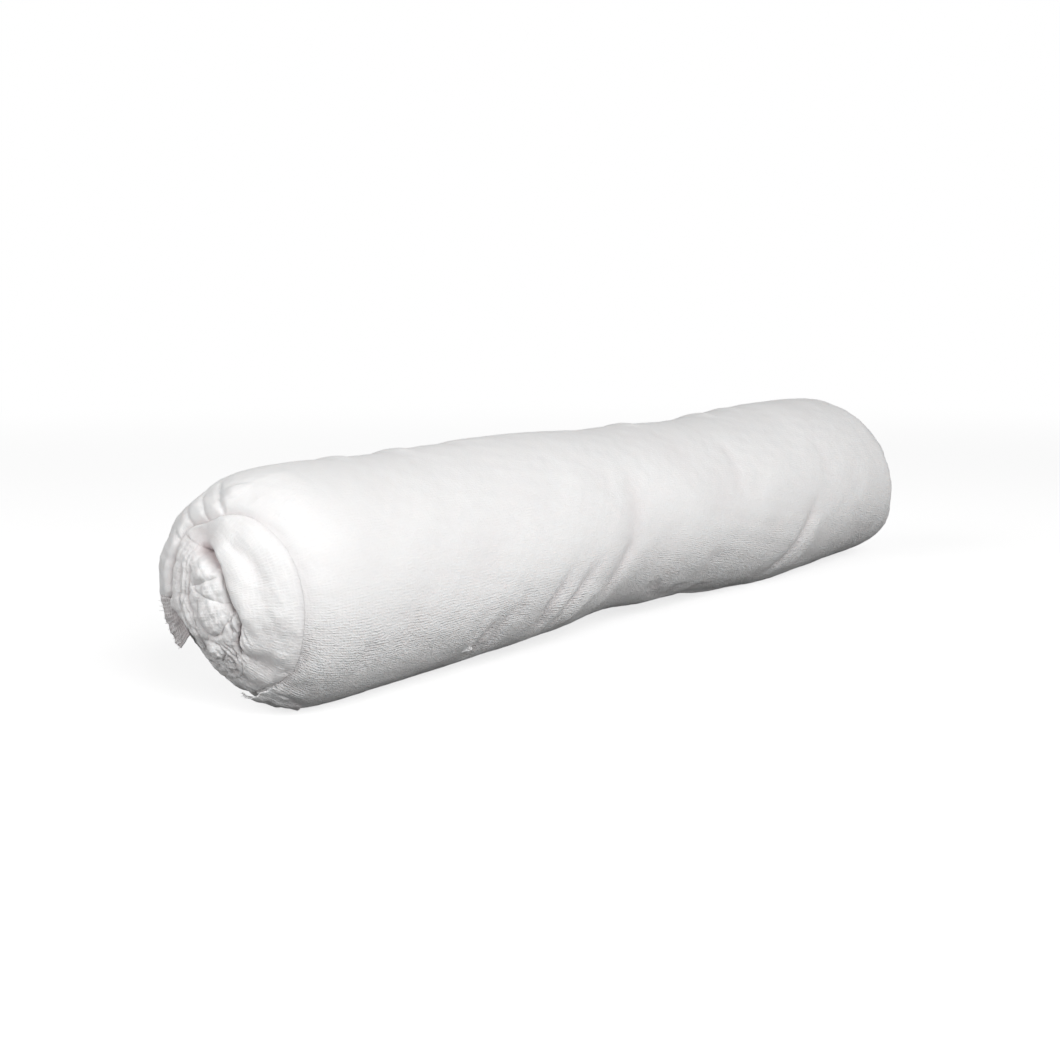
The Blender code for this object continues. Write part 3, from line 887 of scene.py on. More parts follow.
    def end_points(self, side: Side, part: str, angle: Array, place: Array) -> tuple[Array, Array]:
        """Points of one end of the outer turn, with the painted shade that each gets from lying deep in a
        crease.

        Args:
            side: which end.
            part: dome, wall or floor.
            angle: directions round the roll.
            place: 0 at the edge's lip to 1 at the shoulder, down the wall, or out from the axis.

        Returns:
            The points and their painted crease shade.
        """
        form = self.form
        edge = self.edge(side, angle)
        share = edge["share"]
        if part != "dome":
            down = edge["depth"] + self.sinking(edge, share)
            down = down + self.wall_depth * (place if part == "wall" else 1.0)
            across = share * place if part == "floor" else share
            return form.dome(side, angle, across, -down), np.ones(len(angle))
        fraction = place if side is Side.NEAR else 1.0 - place
        share = edge["share"] + (1.0 - edge["share"]) * np.sin(fraction * math.pi / 2)
        plain = form.dome(side, angle, share)
        from_lip = np.linalg.norm(plain - form.dome(side, angle, edge["share"]), axis=1)
        crown = np.sin(np.clip(fraction * self.crown_reach, 0.0, 1.0) * math.pi) ** self.crown_power
        drop = crease_drop(from_lip, edge["depth"], edge["width"], edge["soft"])
        lift = edge["swell"] * crown - drop
        if side is Side.NEAR:
            for fold in self.near_folds:
                lift -= fold.drop(plain, lambda p: form.dome(Side.NEAR, p[:, 0], p[:, 1]))
        calm = np.clip(fraction / self.puff_start, 0.0, 1.0) * (1.0 - fraction)
        puffy = 1.0 - self.soft_calm * edge["soft"]
        lift += calm * puffy * self.puffs.sample(plain)
        lift += (1.0 - fraction) * puffy * self.puckers.sample(plain)
        # Painted shade: darker the deeper the skin lies in a crease.
        crease_shade = np.clip(-lift / self.end_full_shade_depth, 0.0, 1.0) ** CREASE_SHADE_POWER
        return form.dome(side, angle, share, lift - self.sinking(edge, share)), crease_shade

    def barrel_points(self, angle: Array, place: Array) -> tuple[Array, Array]:
        """Points of the barrel from the near shoulder, 0, to the far one, 1, and their painted crease
        shade.
        """
        form = self.form
        start = -form.length / 2 + form.reach(Side.NEAR, angle)
        stop = form.length / 2 - form.reach(Side.FAR, angle)
        x = start + (stop - start) * place
        plain = form.barrel(x, angle)
        lift = np.zeros(len(angle))
        for fold in self.barrel_folds:
            lift -= fold.drop(plain, lambda p: form.barrel(p[:, 0] * MM, p[:, 1]))
        ends = smooth_step(0.0, self.end_fade, np.minimum(place, 1.0 - place))
        lift += ends * self.rolls.sample(plain * self.roll_stretch)
        lift += ends * self.crinkles.sample(plain)
        # The second value is painted shade, darker the deeper the skin lies in a crease.
        return form.barrel(x, angle, lift), np.clip(-lift / self.barrel_full_shade_depth, 0.0, 1.0)

    def build(self) -> bpy.types.Object:
        """Make the outer turn."""
        piece = Piece("outer_turn", "gauze")
        rows = self.stations()
        verts, column, row = piece.add_grid(self.columns, len(rows) - 1)
        angle = self.form.free_edge + FULL_TURN * (column % self.columns) / self.columns
        points = np.zeros((len(verts), 3))
        # Each point's painted crease shade, from 0 to 1.
        depth = np.zeros(len(verts))
        names = np.array([name for name, _ in rows])[row]
        place = np.array([value for _, value in rows])[row]
        for name in dict.fromkeys(names):
            chosen = names == name
            if name == "barrel":
                made = self.barrel_points(angle[chosen], place[chosen])
            else:
                side, part = name.split("_")
                made = self.end_points(Side[side.upper()], part, angle[chosen], place[chosen])
            points[chosen], depth[chosen] = made
        piece.place(verts, points)
        piece.write_weave(verts, self.cloth_places(points, column, row))
        piece.write_crease_shade(verts, depth)
        obj = piece.finish(self.finish)
        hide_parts("gauze_roll")
        return obj

    def cloth_places(self, points: Array, column: Array, row: Array) -> Array:
        """Where each point lies in the flat cloth: round the roll, and along its skin."""
        chosen = column == self.columns // 4
        line = points[chosen][np.argsort(row[chosen])]
        steps = np.linalg.norm(np.diff(line, axis=0), axis=1)
        along = np.concatenate([[0.0], np.cumsum(steps)])
        around = 2 * math.pi * FACE_RADIUS * MM * column / self.columns
        return np.column_stack([around, along[row]])


@dataclass(frozen=True)
class FaceRelief:
    """What stands out of an end's face: folds, flaps, small rucks, and its crumpled middle."""

    folds: tuple[Fold, ...] = ()
    core_folds: tuple[Fold, ...] = ()
    mounds: tuple[Mound, ...] = ()
    rucks: tuple[Ruck, ...] = ()
    core: SmoothTable = SmoothTable(((-90, 0.0), (270, 0.0)))
    core_depth: float = 0.0
    crumple: float = 0.0


@dataclass(frozen=True)
class EndFace:
    """The turns inside the outer one at one end: a face of puffs, creases and crumpled gauze."""

    form: RollForm
    outer: OuterTurn
    finish: GauzeFinish
    side: Side
    name: str
    relief: FaceRelief
    squares: int = 270
    skirt_rings: int = 4
    tuck: float = 0.12 * MM
    overlap: float = 0.2 * MM
    skirt_depth: float = 7.0 * MM
    # How far in from its edge the relief is full, and the depth at which a crease's painted shade is
    # darkest.
    edge_rise: float = 3.0 * MM
    full_shade_depth: float = 4.2 * MM
    # The radius on which the cloth is measured round the face, and how close the middle's threads lie.
    cloth_radius: float = 30 * MM
    core_stretch: float = 1.1
    # How soft the middle's edge is, in millimetres, and how far the middle calms the swells.
    core_edge: float = 2.5
    core_calm: float = 0.6
    # The middle's crumples with their middle level, and the swells of the whole face.
    crumples: tuple[Waves, ...] = (
        Waves(31, 9.5 * MM, 5, 1.6 * MM),
        Waves(32, 4.2 * MM, 5, 1.1 * MM),
        Waves(35, 1.9 * MM, 7, 0.5 * MM),
    )
    crumple_middle: float = 0.6
    swells: tuple[Waves, ...] = (Waves(33, 12 * MM, height=0.28 * MM), Waves(34, 4 * MM, height=0.08 * MM))
    fill: float = 0.6

    def disc_places(self, column: Array, row: Array) -> tuple[Array, Array]:
        """Map the square grid on a disc, ring by ring.

        Returns:
            The ring's share of the disc, 0 to 1, and the angle of each point.
        """
        across = 2.0 * column / self.squares - 1.0
        up = 2.0 * row / self.squares - 1.0
        ring = np.maximum(np.abs(across), np.abs(up))
        safe = np.where(ring == 0.0, 1.0, ring)
        wide = np.abs(across) >= np.abs(up)
        eighth = np.where(wide, up / safe, across / safe) * 45.0
        angle = np.where(wide, np.where(across > 0, eighth, 180.0 - eighth), 0.0)
        angle = np.where(wide, angle, np.where(up > 0, 90.0 - eighth, 270.0 + eighth))
        return ring, self.form.wrapped(angle)

    def build(self) -> bpy.types.Object:
        """Make the face, with a skirt that goes down inside the outer turn and a closed back."""
        form = self.form
        piece = Piece(self.name, "gauze")
        verts, column, row = piece.add_grid(self.squares, self.squares)
        ring, angle = self.disc_places(column, row)
        face_ring = 1.0 - 2.0 * self.skirt_rings / self.squares
        inside = np.minimum(ring / face_ring, 1.0)
        below = np.clip((ring - face_ring) / (1.0 - face_ring), 0.0, 1.0)
        edge = self.outer.edge(self.side, angle)
        rim = edge["share"] + self.overlap / (FACE_RADIUS * MM)
        share = inside * rim
        plain = form.dome(self.side, angle, share)
        from_edge = np.linalg.norm(plain - form.dome(self.side, angle, rim), axis=1)
        lift = self.height(plain, angle, share)
        lift = lift * smooth_step(0.0, self.edge_rise, from_edge)
        lift -= crease_drop(from_edge, edge["depth"] + self.tuck, edge["width"], edge["soft"])
        # Painted shade: darker the deeper the face lies in a crease.
        crease_shade = np.clip(-lift / self.full_shade_depth, 0.0, 1.0) ** CREASE_SHADE_POWER
        lift -= self.outer.sinking(edge, share) + self.skirt_depth * below
        points = form.dome(self.side, angle, share, lift)
        piece.place(verts, points)
        around = np.radians(angle) * self.cloth_radius
        polar = np.column_stack([around, share * FACE_RADIUS * MM])
        level = np.column_stack([-points[:, 1], points[:, 2] * self.core_stretch])
        in_core = self.in_core(angle, share) > 0.5
        cloth = np.where(in_core[:, None], level, polar)
        piece.write_weave(verts, cloth, wrap=2 * math.pi * self.cloth_radius)
        piece.write_crease_shade(verts, crease_shade)
        self.close_back(piece)
        obj = piece.finish(self.finish)
        return obj

    def in_core(self, angle: Array, share: Array) -> Array:
        """How far each point lies in the crumpled middle, from 0 to 1."""
        radius = self.relief.core.at(self.form.wrapped(angle))
        return smooth_step(-self.core_edge, self.core_edge, radius - share * FACE_RADIUS)

    def height(self, plain: Array, angle: Array, share: Array) -> Array:
        """Height of the face over the dome.

        Args:
            plain: the plain dome's points.
            angle: their directions from the middle, in degrees.
            share: their shares of the radius.

        Returns:
            The heights, in metres.
        """
        relief, form = self.relief, self.form
        radius = share * FACE_RADIUS
        across, up = radius * np.cos(np.radians(angle)), radius * np.sin(np.radians(angle))
        core = self.in_core(angle, share)
        lift = -core * relief.core_depth
        for fold in relief.folds:
            lift -= fold.drop(plain, lambda p: form.dome(self.side, p[:, 0], p[:, 1]))
        for fold in relief.core_folds:
            lift -= fold.drop(plain, self.on_face)
        for mound in relief.mounds:
            lift += mound.rise(across, up)
        for ruck in relief.rucks:
            lift += ruck.rise(across, up)
        for waves in self.crumples:
            rise = waves.sample(plain, folded=True) - self.crumple_middle * waves.height
            lift += core * relief.crumple * rise
        calm = 1.0 - self.core_calm * core
        for waves in self.swells:
            lift += calm * waves.sample(plain)
        return lift

    def on_face(self, places: Array) -> Array:
        """Points of the plain dome at places of the face's plane, across and up in millimetres."""
        angle = np.degrees(np.arctan2(places[:, 1], places[:, 0]))
        share = np.hypot(places[:, 0], places[:, 1]) / FACE_RADIUS
        return self.form.dome(self.side, angle, share)

    def close_back(self, piece: Piece) -> None:
        """Close the back: the skirt's edge is drawn in to one point inside the roll."""
        rim = [edge for edge in piece.mesh.edges if edge.is_boundary]
        made = bmesh.ops.extrude_edge_only(piece.mesh, edges=rim)
        verts = [item for item in made["geom"] if isinstance(item, bmesh.types.BMVert)]
        centre = sum((vert.co for vert in verts), Vector()) / len(verts)
        bmesh.ops.pointmerge(piece.mesh, verts=verts, merge_co=centre)


@dataclass(frozen=True)
class LooseEnd:
    """A ragged loose end of the gauze at the near end: a thin sheet between its root and its teeth.

    Each station along it has the angle, share and lift of its root, and of its free edge.
    """

    form: RollForm
    finish: GauzeFinish
    node: str
    stations: tuple[tuple[float, ...], ...]
    flat: tuple[float, float]
    teeth: float = 0.8 * MM
    bulge: float = 0.5 * MM
    thickness: float = 0.45 * MM
    columns: int = 90
    rows: int = 30
    seed: int = 5
    # The sheet's fine crinkles, and how far it stays off the floor.
    crinkle_length: float = 4.5 * MM
    crinkle: float = 0.22 * MM
    floor_gap: float = 0.3 * MM
    # How dark the painted shade in the root's crease is, and how quickly that fades along the sheet.
    crease_shade_share: float = 0.7
    crease_shade_fade: float = 2.2
    # The saws of the ragged edge: their number of teeth, and their share of the teeth's size.
    saws: tuple[tuple[int, float], ...] = ((5, 0.45), (11, 0.35), (27, 0.30), (41, 0.2))
    # Where thread ends start along the edge and behind it, and how far they turn outwards.
    thread_margin: float = 0.02
    thread_inset: float = 0.6 * MM
    thread_rise: float = 0.25
    # How deep in the roll the point lies that the sheet faces away from.
    middle_depth: float = 42 * MM

    def build(self) -> bpy.types.Object:
        """Make the sheet."""
        piece = Piece(self.node + "_sheet", "frayed_gauze")
        verts, column, row = piece.add_grid(self.columns, self.rows)
        out = row / self.rows
        start, stop = self.edges(column / self.columns)
        ragged = self.raggedness(column / self.columns)
        reach = out + ragged / np.linalg.norm(stop - start, axis=1) * out**3
        points = start + (stop - start) * reach[:, None]
        away = self.outward(points)
        lift = self.bulge * np.sin(math.pi * np.clip(out, 0.0, 1.0))
        crinkles = Waves(self.seed + 7, self.crinkle_length, height=self.crinkle)
        lift = lift + crinkles.sample(points)
        points = points + away * lift[:, None]
        points[:, 2] = np.maximum(points[:, 2], self.floor_gap)
        piece.place(verts, points)
        size = np.array(self.flat)
        piece.write_weave(verts, np.column_stack([column / self.columns, out]) * size)
        # Painted shade in the crease at the sheet's root, fading out along the sheet.
        shade = np.clip(1.0 - self.crease_shade_fade * out, 0.0, 1.0)
        piece.write_crease_shade(verts, shade * self.crease_shade_share)
        self.thicken(piece)
        obj = piece.finish(self.finish)
        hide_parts(self.node)
        return obj

    def edges(self, along: Array) -> tuple[Array, Array]:
        """Points of the root and of the free edge, at places from 0 to 1 along the sheet."""
        table = SmoothTable(tuple((number, *station) for number, station in enumerate(self.stations)))
        place = along * (len(self.stations) - 1)
        root = [table.at(place, number) for number in (1, 2, 3)]
        tip = [table.at(place, number) for number in (4, 5, 6)]
        start = self.form.dome(Side.NEAR, root[0], root[1], root[2] * MM)
        return start, self.form.dome(Side.NEAR, tip[0], tip[1], tip[2] * MM)

    def thread_ends(self, count: int) -> list[tuple[Vector, Vector]]:
        """Where threads leave the free edge, each with its direction."""
        along = np.linspace(self.thread_margin, 1.0 - self.thread_margin, count)
        start, stop = self.edges(along)
        way = (stop - start) / np.linalg.norm(stop - start, axis=1)[:, None]
        away = self.outward(stop)
        points = stop + away * self.thickness / 2 - way * self.thread_inset
        lines = way + self.thread_rise * away
        return [(Vector(point), Vector(line)) for point, line in zip(points, lines)]

    def raggedness(self, along: Array) -> Array:
        """How far the teeth of the free edge stand out at places along it, in metres."""
        source = np.random.default_rng(self.seed)
        total = np.zeros(len(along))
        for count, share in self.saws:
            start = source.uniform(0, 1)
            total += share * np.abs((along * count + start) % 1.0 * 2.0 - 1.0)
        return self.teeth * (total - 0.5)

    def outward(self, points: Array) -> Array:
        """The direction away from the roll's end at each point."""
        middle = [-self.form.length / 2 + self.middle_depth, 0.0, self.form.tip_height]
        away = points - np.array(middle)
        return away / np.linalg.norm(away, axis=1)[:, None]

    def thicken(self, piece: Piece) -> None:
        """Give the sheet its thickness, outwards."""
        piece.mesh.normal_update()
        piece.mesh.faces.ensure_lookup_table()
        middle = piece.mesh.faces[len(piece.mesh.faces) // 2]
        away = self.outward(np.array([middle.calc_center_median()]))[0]
        if middle.normal.dot(Vector(away)) > 0.0:
            bmesh.ops.reverse_faces(piece.mesh, faces=piece.mesh.faces[:])
        bmesh.ops.solidify(piece.mesh, geom=piece.mesh.faces[:], thickness=self.thickness)


@dataclass(frozen=True)
class ThreadEnds:
    """Frayed thread ends: thin bent tubes that stand out of the ragged edges."""

    form: RollForm
    finish: GauzeFinish
    radius: float = 0.13 * MM
    shortest: float = 1.0 * MM
    longest: float = 2.6 * MM
    # How far threads of the loose ends stray and bend, and those of the tuft.
    stray: float = 0.35
    tuft_stray: float = 0.07
    bend: float = 0.5
    tuft_bend: float = 0.35
    # A thread's sides and rings, its tip's share of its radius, and its height off the floor.
    sides: int = 5
    rings: int = 3
    tip_share: float = 0.5
    floor_gap: float = 0.2 * MM
    seed: int = 71
    tuft_threads: int = 16
    tuft_radius: float = 0.42 * MM
    tuft_extra: float = 1.6 * MM
    # How deep the tuft's roots lie, and how its threads lean: along the roll, round it and out.
    tuft_root: float = 0.5 * MM
    tuft_lean: tuple[float, float, float] = (1.5 * MM, 5.0, 1.2 * MM)
    # The tuft at the free edge: its place along X in millimetres and its angle, with half its spread.
    tuft: tuple[float, float, float, float] = (-126.0, -47.0, 1.0, 1.8)

    def tuft_roots(self) -> list[tuple[Vector, Vector]]:
        """Where the tuft's threads leave the barrel, each with its direction."""
        source = np.random.default_rng(self.seed)
        x, angle, wide, high = self.tuft
        spread = source.uniform(-1.0, 1.0, (2, self.tuft_threads))
        places, turns = (x + spread[0] * wide) * MM, angle + spread[1] * high
        along, round_roll, out = self.tuft_lean
        roots = self.form.barrel(places, turns, -self.tuft_root)
        tops = self.form.barrel(places + along, turns + round_roll, out)
        return [(Vector(root), Vector(top - root)) for root, top in zip(roots, tops)]

    def build(self, ends: list[tuple[Vector, Vector]]) -> bpy.types.Object:
        """Make all thread ends as one piece.

        Args:
            ends: where threads leave the loose ends, each with its direction.

        Returns:
            The piece.
        """
        piece = Piece("frayed_threads", "frayed_gauze")
        source = np.random.default_rng(self.seed + 1)
        tuft = self.tuft_roots()
        for number, (root, way) in enumerate(ends + tuft):
            loose = number < len(ends)
            stray = Vector(source.normal(size=3)) * (self.stray if loose else self.tuft_stray)
            length = source.uniform(self.shortest, self.longest) + (0.0 if loose else self.tuft_extra)
            radius = self.radius if loose else self.tuft_radius
            bend = source.uniform(-self.bend, self.bend) * (1.0 if loose else self.tuft_bend)
            self.add_thread(piece.mesh, root, way.normalized() + stray, (length, radius, bend))
        return piece.finish(self.finish, weld=0.001 * MM)

    def add_thread(
        self, mesh: bmesh.types.BMesh, root: Vector, way: Vector, size: tuple[float, float, float]
    ) -> None:
        """Add one thread, a slim bent cone.

        Args:
            mesh: the mesh that the thread joins.
            root: where it starts.
            way: its direction.
            size: its length, radius and bend.
        """
        length, radius, bend = size
        before, cut = len(mesh.verts), len(mesh.edges)
        bmesh.ops.create_cone(
            mesh,
            cap_ends=True,
            segments=self.sides,
            radius1=radius,
            radius2=radius * self.tip_share,
            depth=length,
        )
        made = mesh.edges[:][cut:]
        long = [edge for edge in made if abs(edge.verts[0].co.z - edge.verts[1].co.z) > length / 2]
        bmesh.ops.subdivide_edges(mesh, edges=long, cuts=self.rings)
        turn = way.to_track_quat("Z", "Y")
        for vert in mesh.verts[:][before:]:
            along = vert.co.z / length + 0.5
            vert.co.x += bend * along * along * length
            vert.co.z += length / 2
            vert.co = root + turn @ vert.co
            vert.co.z = max(vert.co.z, self.floor_gap)


@dataclass(frozen=True)
class SoftBox:
    """A square soft light that faces the roll: its name, place, size and power."""

    name: str
    place: tuple[float, float, float]
    size: float
    power: float

    def build(self) -> None:
        """Make the light."""
        data = bpy.data.lights.new(self.name, "AREA")
        data.size = self.size
        data.energy = self.power
        light = bpy.data.objects.new(self.name, data)
        light.location = self.place
        light.rotation_euler = (-Vector(self.place)).to_track_quat("-Z", "Y").to_euler()
        bpy.context.scene.collection.objects.link(light)


@dataclass(frozen=True)
class Studio:
    """A pale floor that fades into a white backdrop, soft light, and the camera."""

    # The camera: its lens and sensor in millimetres, its place, and its heading and tilt in degrees.
    focal_length: float = 50.0
    sensor: float = 36.0
    eye: tuple[float, float, float] = (-0.5187, -0.3865, 0.1442)
    heading: float = -50.3922
    down: float = 9.3575
    # The floor, with the distances between which it fades into the backdrop.
    floor_size: float = 6.0
    floor_fade: tuple[float, float] = (0.45, 1.3)
    floor_glow: float = 0.73
    floor_colour: Colour = (0.5, 0.5, 0.5, 1.0)
    # What the floor and the backdrop give the roll, whatever the camera sees of them.
    bounce_colour: Colour = (0.12, 0.12, 0.12, 1.0)
    sky_light: float = 0.10
    boxes: tuple[SoftBox, ...] = (
        SoftBox("key", (-0.37, -0.99, 0.54), 0.9, 13.9),
        SoftBox("fill", (-1.36, 0.56, 0.64), 1.2, 12.0),
        SoftBox("back", (1.10, 1.00, 0.60), 1.2, 2.6),
    )

    def build(self) -> None:
        """Make the floor, the lights and the camera."""
        self.add_floor()
        self.add_camera()
        for box in self.boxes:
            box.build()
        self.add_sky()
        bpy.context.scene.view_settings.view_transform = "Standard"

    def glow(self, tree: bpy.types.NodeTree, kind: str, strength: float) -> Socket:
        """Add plain white light of one strength."""
        node = tree.nodes.new(kind)
        node.inputs["Color"].default_value = WHITE
        node.inputs["Strength"].default_value = strength
        return node.outputs[0]

    def seen(self, tree: bpy.types.NodeTree, unseen: Socket, seen: Socket) -> None:
        """Show one shader where it is looked at, and let the other light the roll.

        Args:
            tree: the material's or the world's nodes.
            unseen: the shader that lights the roll.
            seen: the shader that the camera sees.
        """
        path = tree.nodes.new("ShaderNodeLightPath")
        mix = tree.nodes.new("ShaderNodeMixShader")
        tree.links.new(path.outputs["Is Camera Ray"], mix.inputs[0])
        tree.links.new(unseen, mix.inputs[1])
        tree.links.new(seen, mix.inputs[2])
        output = next(node for node in tree.nodes if node.type.startswith("OUTPUT"))
        tree.links.new(mix.outputs[0], output.inputs["Surface"])

    def add_sky(self) -> None:
        """Even light from all round, and a white backdrop behind the floor's edge."""
        world = bpy.data.worlds.new("studio")
        world.use_nodes = True
        tree = world.node_tree
        light = self.glow(tree, "ShaderNodeBackground", self.sky_light)
        self.seen(tree, light, self.glow(tree, "ShaderNodeBackground", 1.0))
        bpy.context.scene.world = world

    def add_floor(self) -> None:
        """A pale floor with a soft shadow under the roll."""
        mesh = bmesh.new()
        bmesh.ops.create_grid(mesh, x_segments=1, y_segments=1, size=self.floor_size)
        data = bpy.data.meshes.new("studio_floor")
        mesh.to_mesh(data)
        mesh.free()
        material = bpy.data.materials.new("studio_floor")
        material.use_nodes = True
        nodes = Nodes(material)
        tree, shader = nodes.tree, nodes.shader
        shader.inputs["Base Color"].default_value = self.floor_colour
        shader.inputs["Roughness"].default_value = 1.0
        shader.inputs["Emission Color"].default_value = WHITE
        shader.inputs["Emission Strength"].default_value = self.floor_glow
        bounce = nodes.add("ShaderNodeBsdfDiffuse")
        bounce.inputs["Color"].default_value = self.bounce_colour
        far = nodes.add("ShaderNodeVectorMath", operation="LENGTH")
        nodes.feed(far.inputs[0], nodes.add("ShaderNodeTexCoord").outputs["Object"])
        start, stop = self.floor_fade
        fade = nodes.ramp(far.outputs["Value"], (start, 0.0), (stop, 1.0))
        mix = nodes.add("ShaderNodeMixShader")
        tree.links.new(fade, mix.inputs[0])
        tree.links.new(shader.outputs[0], mix.inputs[1])
        tree.links.new(self.glow(tree, "ShaderNodeEmission", 1.0), mix.inputs[2])
        self.seen(tree, bounce.outputs[0], mix.outputs[0])
        data.materials.append(material)
        floor = bpy.data.objects.new("studio_floor", data)
        bpy.context.scene.collection.objects.link(floor)

    def add_camera(self) -> None:
        """The camera at the photo's angle."""
        data = bpy.data.cameras.new("camera")
        data.lens = self.focal_length
        data.sensor_width = self.sensor
        camera = bpy.data.objects.new("camera", data)
        heading, down = math.radians(self.heading), math.radians(self.down)
        level = Vector((-math.sin(heading), math.cos(heading), 0.0)) * math.cos(down)
        ahead = level - Vector((0.0, 0.0, math.sin(down)))
        camera.location = self.eye
        camera.rotation_euler = ahead.to_track_quat("-Z", "Y").to_euler()
        bpy.context.scene.collection.objects.link(camera)
        bpy.context.scene.camera = camera


NEAR_CORE = SmoothTable(
    (
        (-90, 30.0), (-60, 26.0), (-38, 19.5), (-15, 18.5), (7, 15.0), (31, 13.6), (49, 15.0), (70, 16.5),
        (80, 18.0), (92, 18.6), (106, 20.2), (120, 24.0), (132, 31.0), (150, 40.0), (240, 40.0),
        (270, 30.0),
    )
)
# The soft lines of the inner turns, by angle and share of the radius.
NEAR_FOLDS = (
    Fold(
        (
            (72, 0.47), (60, 0.50), (50, 0.55), (40, 0.58), (26, 0.595), (8, 0.602), (-12, 0.597),
            (-28, 0.56),
        ),
        0.55, 3.6, Relief.SOFT, 0.2,
    ),
    Fold(((66, 0.52), (50, 0.545), (32, 0.585), (14, 0.598)), 0.6, 1.8),
    Fold(((76, 0.52), (62, 0.47), (42, 0.455), (22, 0.46), (2, 0.48), (-14, 0.52), (-26, 0.52)), -1.4, 4.4),
    Fold(((66, 0.66), (40, 0.68), (5, 0.71), (-20, 0.72)), -0.7, 5.0),
    Fold(((-52, 0.60), (-44, 0.68), (-40, 0.75)), 0.8, 6.0),
    Fold(((-64, 0.56), (-56, 0.64), (-50, 0.72)), -0.7, 4.0),
    Fold(((-84, 0.60), (-72, 0.66), (-62, 0.70)), 0.9, 3.0),
)
# The creases of the crumpled middle, across and up in millimetres.
CORE_FOLDS = (
    Fold(
        (
            (-7.0, 19.9), (-3.0, 19.1), (1.5, 17.9), (5.0, 16.1), (7.6, 13.9), (9.6, 11.9), (11.4, 8.9),
            (13.0, 5.8), (14.6, 1.5), (16.9, -1.8), (18.0, -5.2), (16.6, -9.6), (15.1, -12.7),
            (15.6, -16.2), (18.6, -18.6),
        ),
        4.4, 2.9, Relief.SHARP, 0.1,
    ),
    Fold(((-6.0, 19.4), (-1.0, 18.4), (3.5, 16.4), (7.0, 13.0), (9.4, 9.6)), 3.2, 2.3),
    Fold(((-2.6, 5.4), (0.5, 6.0), (3.2, 7.0), (7.4, 8.6), (10.0, 9.6)), 1.6, 2.0, Relief.SHARP, 0.15),
    Fold(((-1.5, 5.0), (1.1, 3.4), (6.0, 2.4), (10.3, 1.6), (14.0, 1.0)), 0.9, 1.6, Relief.SHARP, 0.2),
    Fold(
        (
            (1.4, 3.0), (0.9, -1.0), (0.8, -4.7), (1.7, -8.1), (3.9, -10.8), (6.8, -11.2), (10.6, -9.2),
            (13.7, -4.8), (14.8, -0.6),
        ),
        1.4, 2.3, Relief.SHARP, 0.1,
    ),
    Fold(
        (
            (-10.8, 15.0), (-10.3, 6.8), (-9.3, 1.0), (-9.2, -4.3), (-5.2, -8.6), (-1.8, -11.6),
            (-2.2, -16.0), (-3.0, -20.0),
        ),
        1.7, 2.2, Relief.SHARP, 0.12,
    ),
    Fold(
        ((-4.4, 13.0), (-4.6, 9.0), (-4.1, 5.7), (-4.9, 1.6), (-2.6, -4.1), (-1.6, -8.2), (1.0, -12.2)),
        1.5, 2.0, Relief.SHARP, 0.12,
    ),
    Fold(
        ((14.2, 4.5), (14.9, 1.4), (16.0, -2.2), (14.2, -5.6), (14.8, -8.6), (13.0, -11.8)),
        1.7, 1.5, Relief.SHARP,
    ),
    Fold(
        ((-1.2, -14.6), (-1.6, -18.4), (1.0, -21.2), (5.6, -20.4), (8.8, -17.2), (9.0, -14.2)),
        1.7, 1.9, Relief.SHARP,
    ),
    Fold(((-1.2, -14.4), (2.6, -13.0), (6.2, -13.2), (9.0, -14.4)), 1.2, 1.6, Relief.SHARP),
    Fold(((-6.8, -19.6), (-1.0, -23.6), (6.6, -24.9), (12.0, -23.4)), 1.9, 2.1, Relief.SHARP),
    Fold(((8.9, -16.8), (10.2, -20.0), (10.0, -23.6)), 1.3, 1.7, Relief.SHARP),
    Fold(((-7.0, -24.0), (1.6, -27.8), (9.0, -27.8)), 1.5, 2.2, Relief.SHARP),
    Fold(((12.4, -12.6), (13.0, -16.5), (12.2, -20.5)), 1.2, 1.8, Relief.SHARP),
)
NEAR_MOUNDS = (
    Mound(-4.5, 22.0, 9.0, 4.2, -6, -2.4, 1.0),
    Mound(3.4, 10.8, 5.2, 4.0, 10, 1.6),
    Mound(7.6, 5.2, 6.4, 3.0, 14, 0.9),
    Mound(7.9, -4.0, 6.6, 6.4, -30, 1.4),
    Mound(3.6, -17.2, 4.2, 3.0, 20, 1.9),
    Mound(18.8, -19.6, 6.5, 4.6, 0, -1.3, 1.0),
)
NEAR_RUCKS = (
    Ruck(-7.6, 8.0, 3.4, 10.0, 4, 2.3, 1.25, 2.6, 41),
    Ruck(-6.6, -7.0, 3.6, 9.0, 22, 2.2, 1.6, 1.7, 43),
    Ruck(17.2, -8.0, 2.4, 7.0, 10, 1.7, 1.7, 0.9, 45),
    Ruck(11.5, -17.0, 4.0, 4.5, 30, 2.0, 1.0, 0.9, 51),
    Ruck(2.0, -25.5, 9.0, 2.6, 78, 2.2, 1.2, 0.8, 49),
)
NEAR_RELIEF = FaceRelief(NEAR_FOLDS, CORE_FOLDS, NEAR_MOUNDS, NEAR_RUCKS, NEAR_CORE, 0.8 * MM, 0.60)
TONGUE_STATIONS = (
    (186, 0.36, -2.0, 183, 0.55, 0.6), (193, 0.35, -2.4, 193, 0.54, 0.9), (200, 0.40, -2.4, 202, 0.53, 1.1),
    (209, 0.42, -2.6, 212, 0.53, 1.6), (220, 0.43, -2.8, 222, 0.54, 1.9), (230, 0.44, -2.2, 230, 0.54, 1.6),
)
CORNER_STATIONS = (
    (-58, 0.94, -0.9, -58, 0.81, -0.9), (-65, 0.96, 0.0, -65, 0.79, 0.3), (-72, 0.97, 0.9, -72, 0.79, 1.1),
    (-78, 0.97, 1.1, -79, 0.80, 1.2), (-82, 0.96, 0.7, -83, 0.79, 0.7), (-86, 0.95, -0.6, -87, 0.80, -0.5),
)
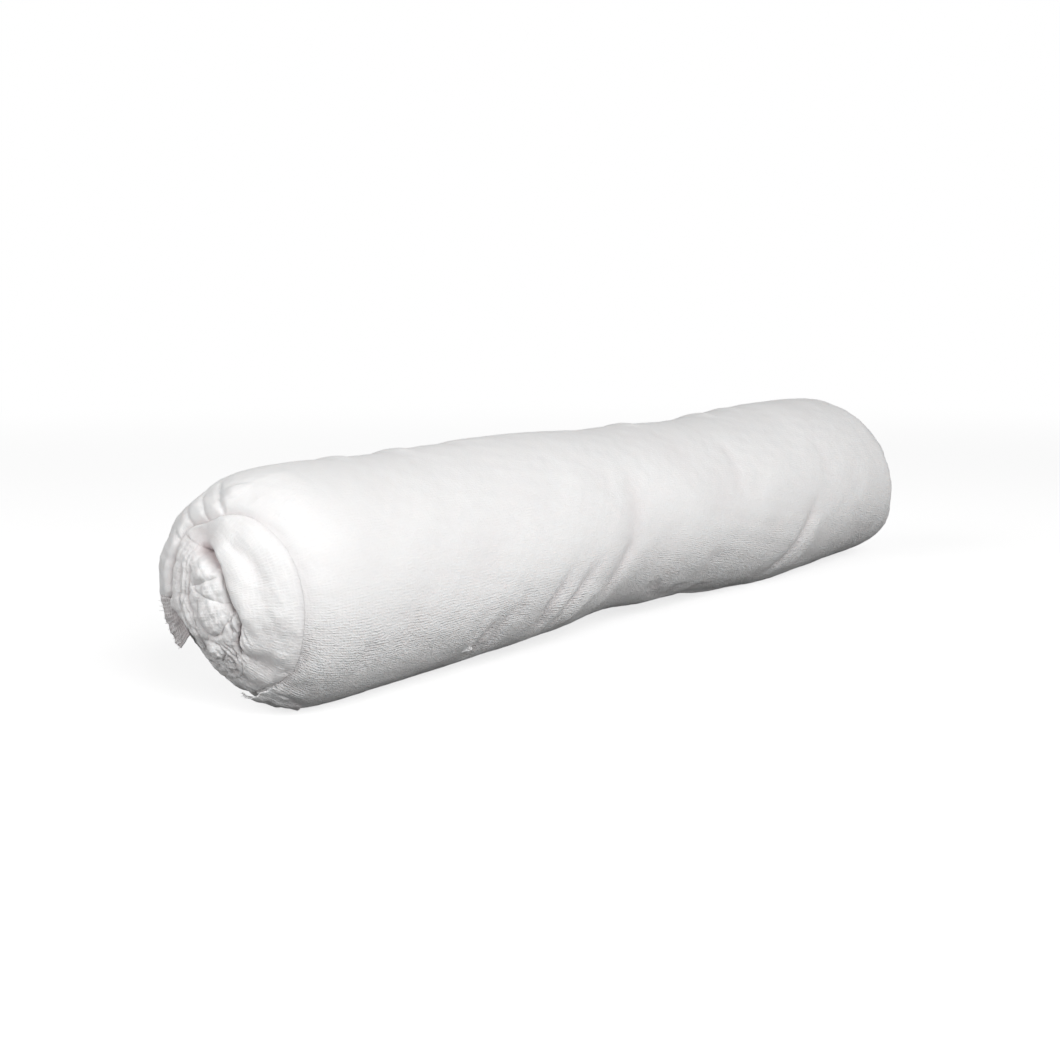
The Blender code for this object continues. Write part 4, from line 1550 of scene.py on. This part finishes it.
FAR_FOLDS = (
    Fold(tuple((-75 + 30.0 * i, 0.80 - 0.0125 * i) for i in range(1, 13)), 2.8, 3.0, Relief.SHARP, 0.05),
    Fold(tuple((285 + 30.0 * i, 0.65 - 0.0125 * i) for i in range(0, 13)), 3.0, 3.0, Relief.SHARP, 0.05),
    Fold(tuple((285 + 30.0 * i, 0.50 - 0.0150 * i) for i in range(0, 13)), 3.0, 2.8, Relief.SHARP, 0.05),
    Fold(tuple((285 + 30.0 * i, 0.32 - 0.0180 * i) for i in range(0, 14)), 2.6, 2.4, Relief.SHARP, 0.05),
)


def main() -> None:
    """Build every piece of the roll and the studio round it."""
    logging.basicConfig(level=logging.INFO, format="%(name)s: %(message)s")
    form = RollForm()
    gauze = GauzeFinish("gauze_over_wool")
    core_gauze = GauzeFinish(
        "crumpled_gauze",
        cross_threads=0.9,
        gap_share=0.35,
        lump_relief=0.6 * MM,
        waver=0.6,
        strong=(14 * MM, 1.3),
        calm=(44 * MM, 0.65),
    )
    open_gauze = GauzeFinish(
        "open_gauze",
        round_pitch=1.1 * MM,
        along_pitch=1.2 * MM,
        cross_threads=1.0,
        gap_share=0.9,
        waver=0.6,
        # Its gaps are much darker: painted shade of the hollow seen through the open weave.
        thread_colour=(0.88, 0.86, 0.86, 1.0),
        wool_and_gap_shade_colour=(0.42, 0.38, 0.38, 1.0),
    )
    outer = OuterTurn(form, gauze)
    outer.build()
    EndFace(form, outer, core_gauze, Side.NEAR, "near_turns", NEAR_RELIEF).build()
    EndFace(form, outer, gauze, Side.FAR, "far_turns", FaceRelief(FAR_FOLDS), squares=130).build()
    tongue = LooseEnd(form, open_gauze, "frayed_tongue", TONGUE_STATIONS, (0.014, 0.010), bulge=0.3 * MM)
    corner = LooseEnd(form, core_gauze, "frayed_corner", CORNER_STATIONS, (0.020, 0.014), seed=9)
    tongue.build()
    corner.build()
    ThreadEnds(form, gauze).build(tongue.thread_ends(13) + corner.thread_ends(10))
    Studio().build()


if __name__ == "__main__":
    main()
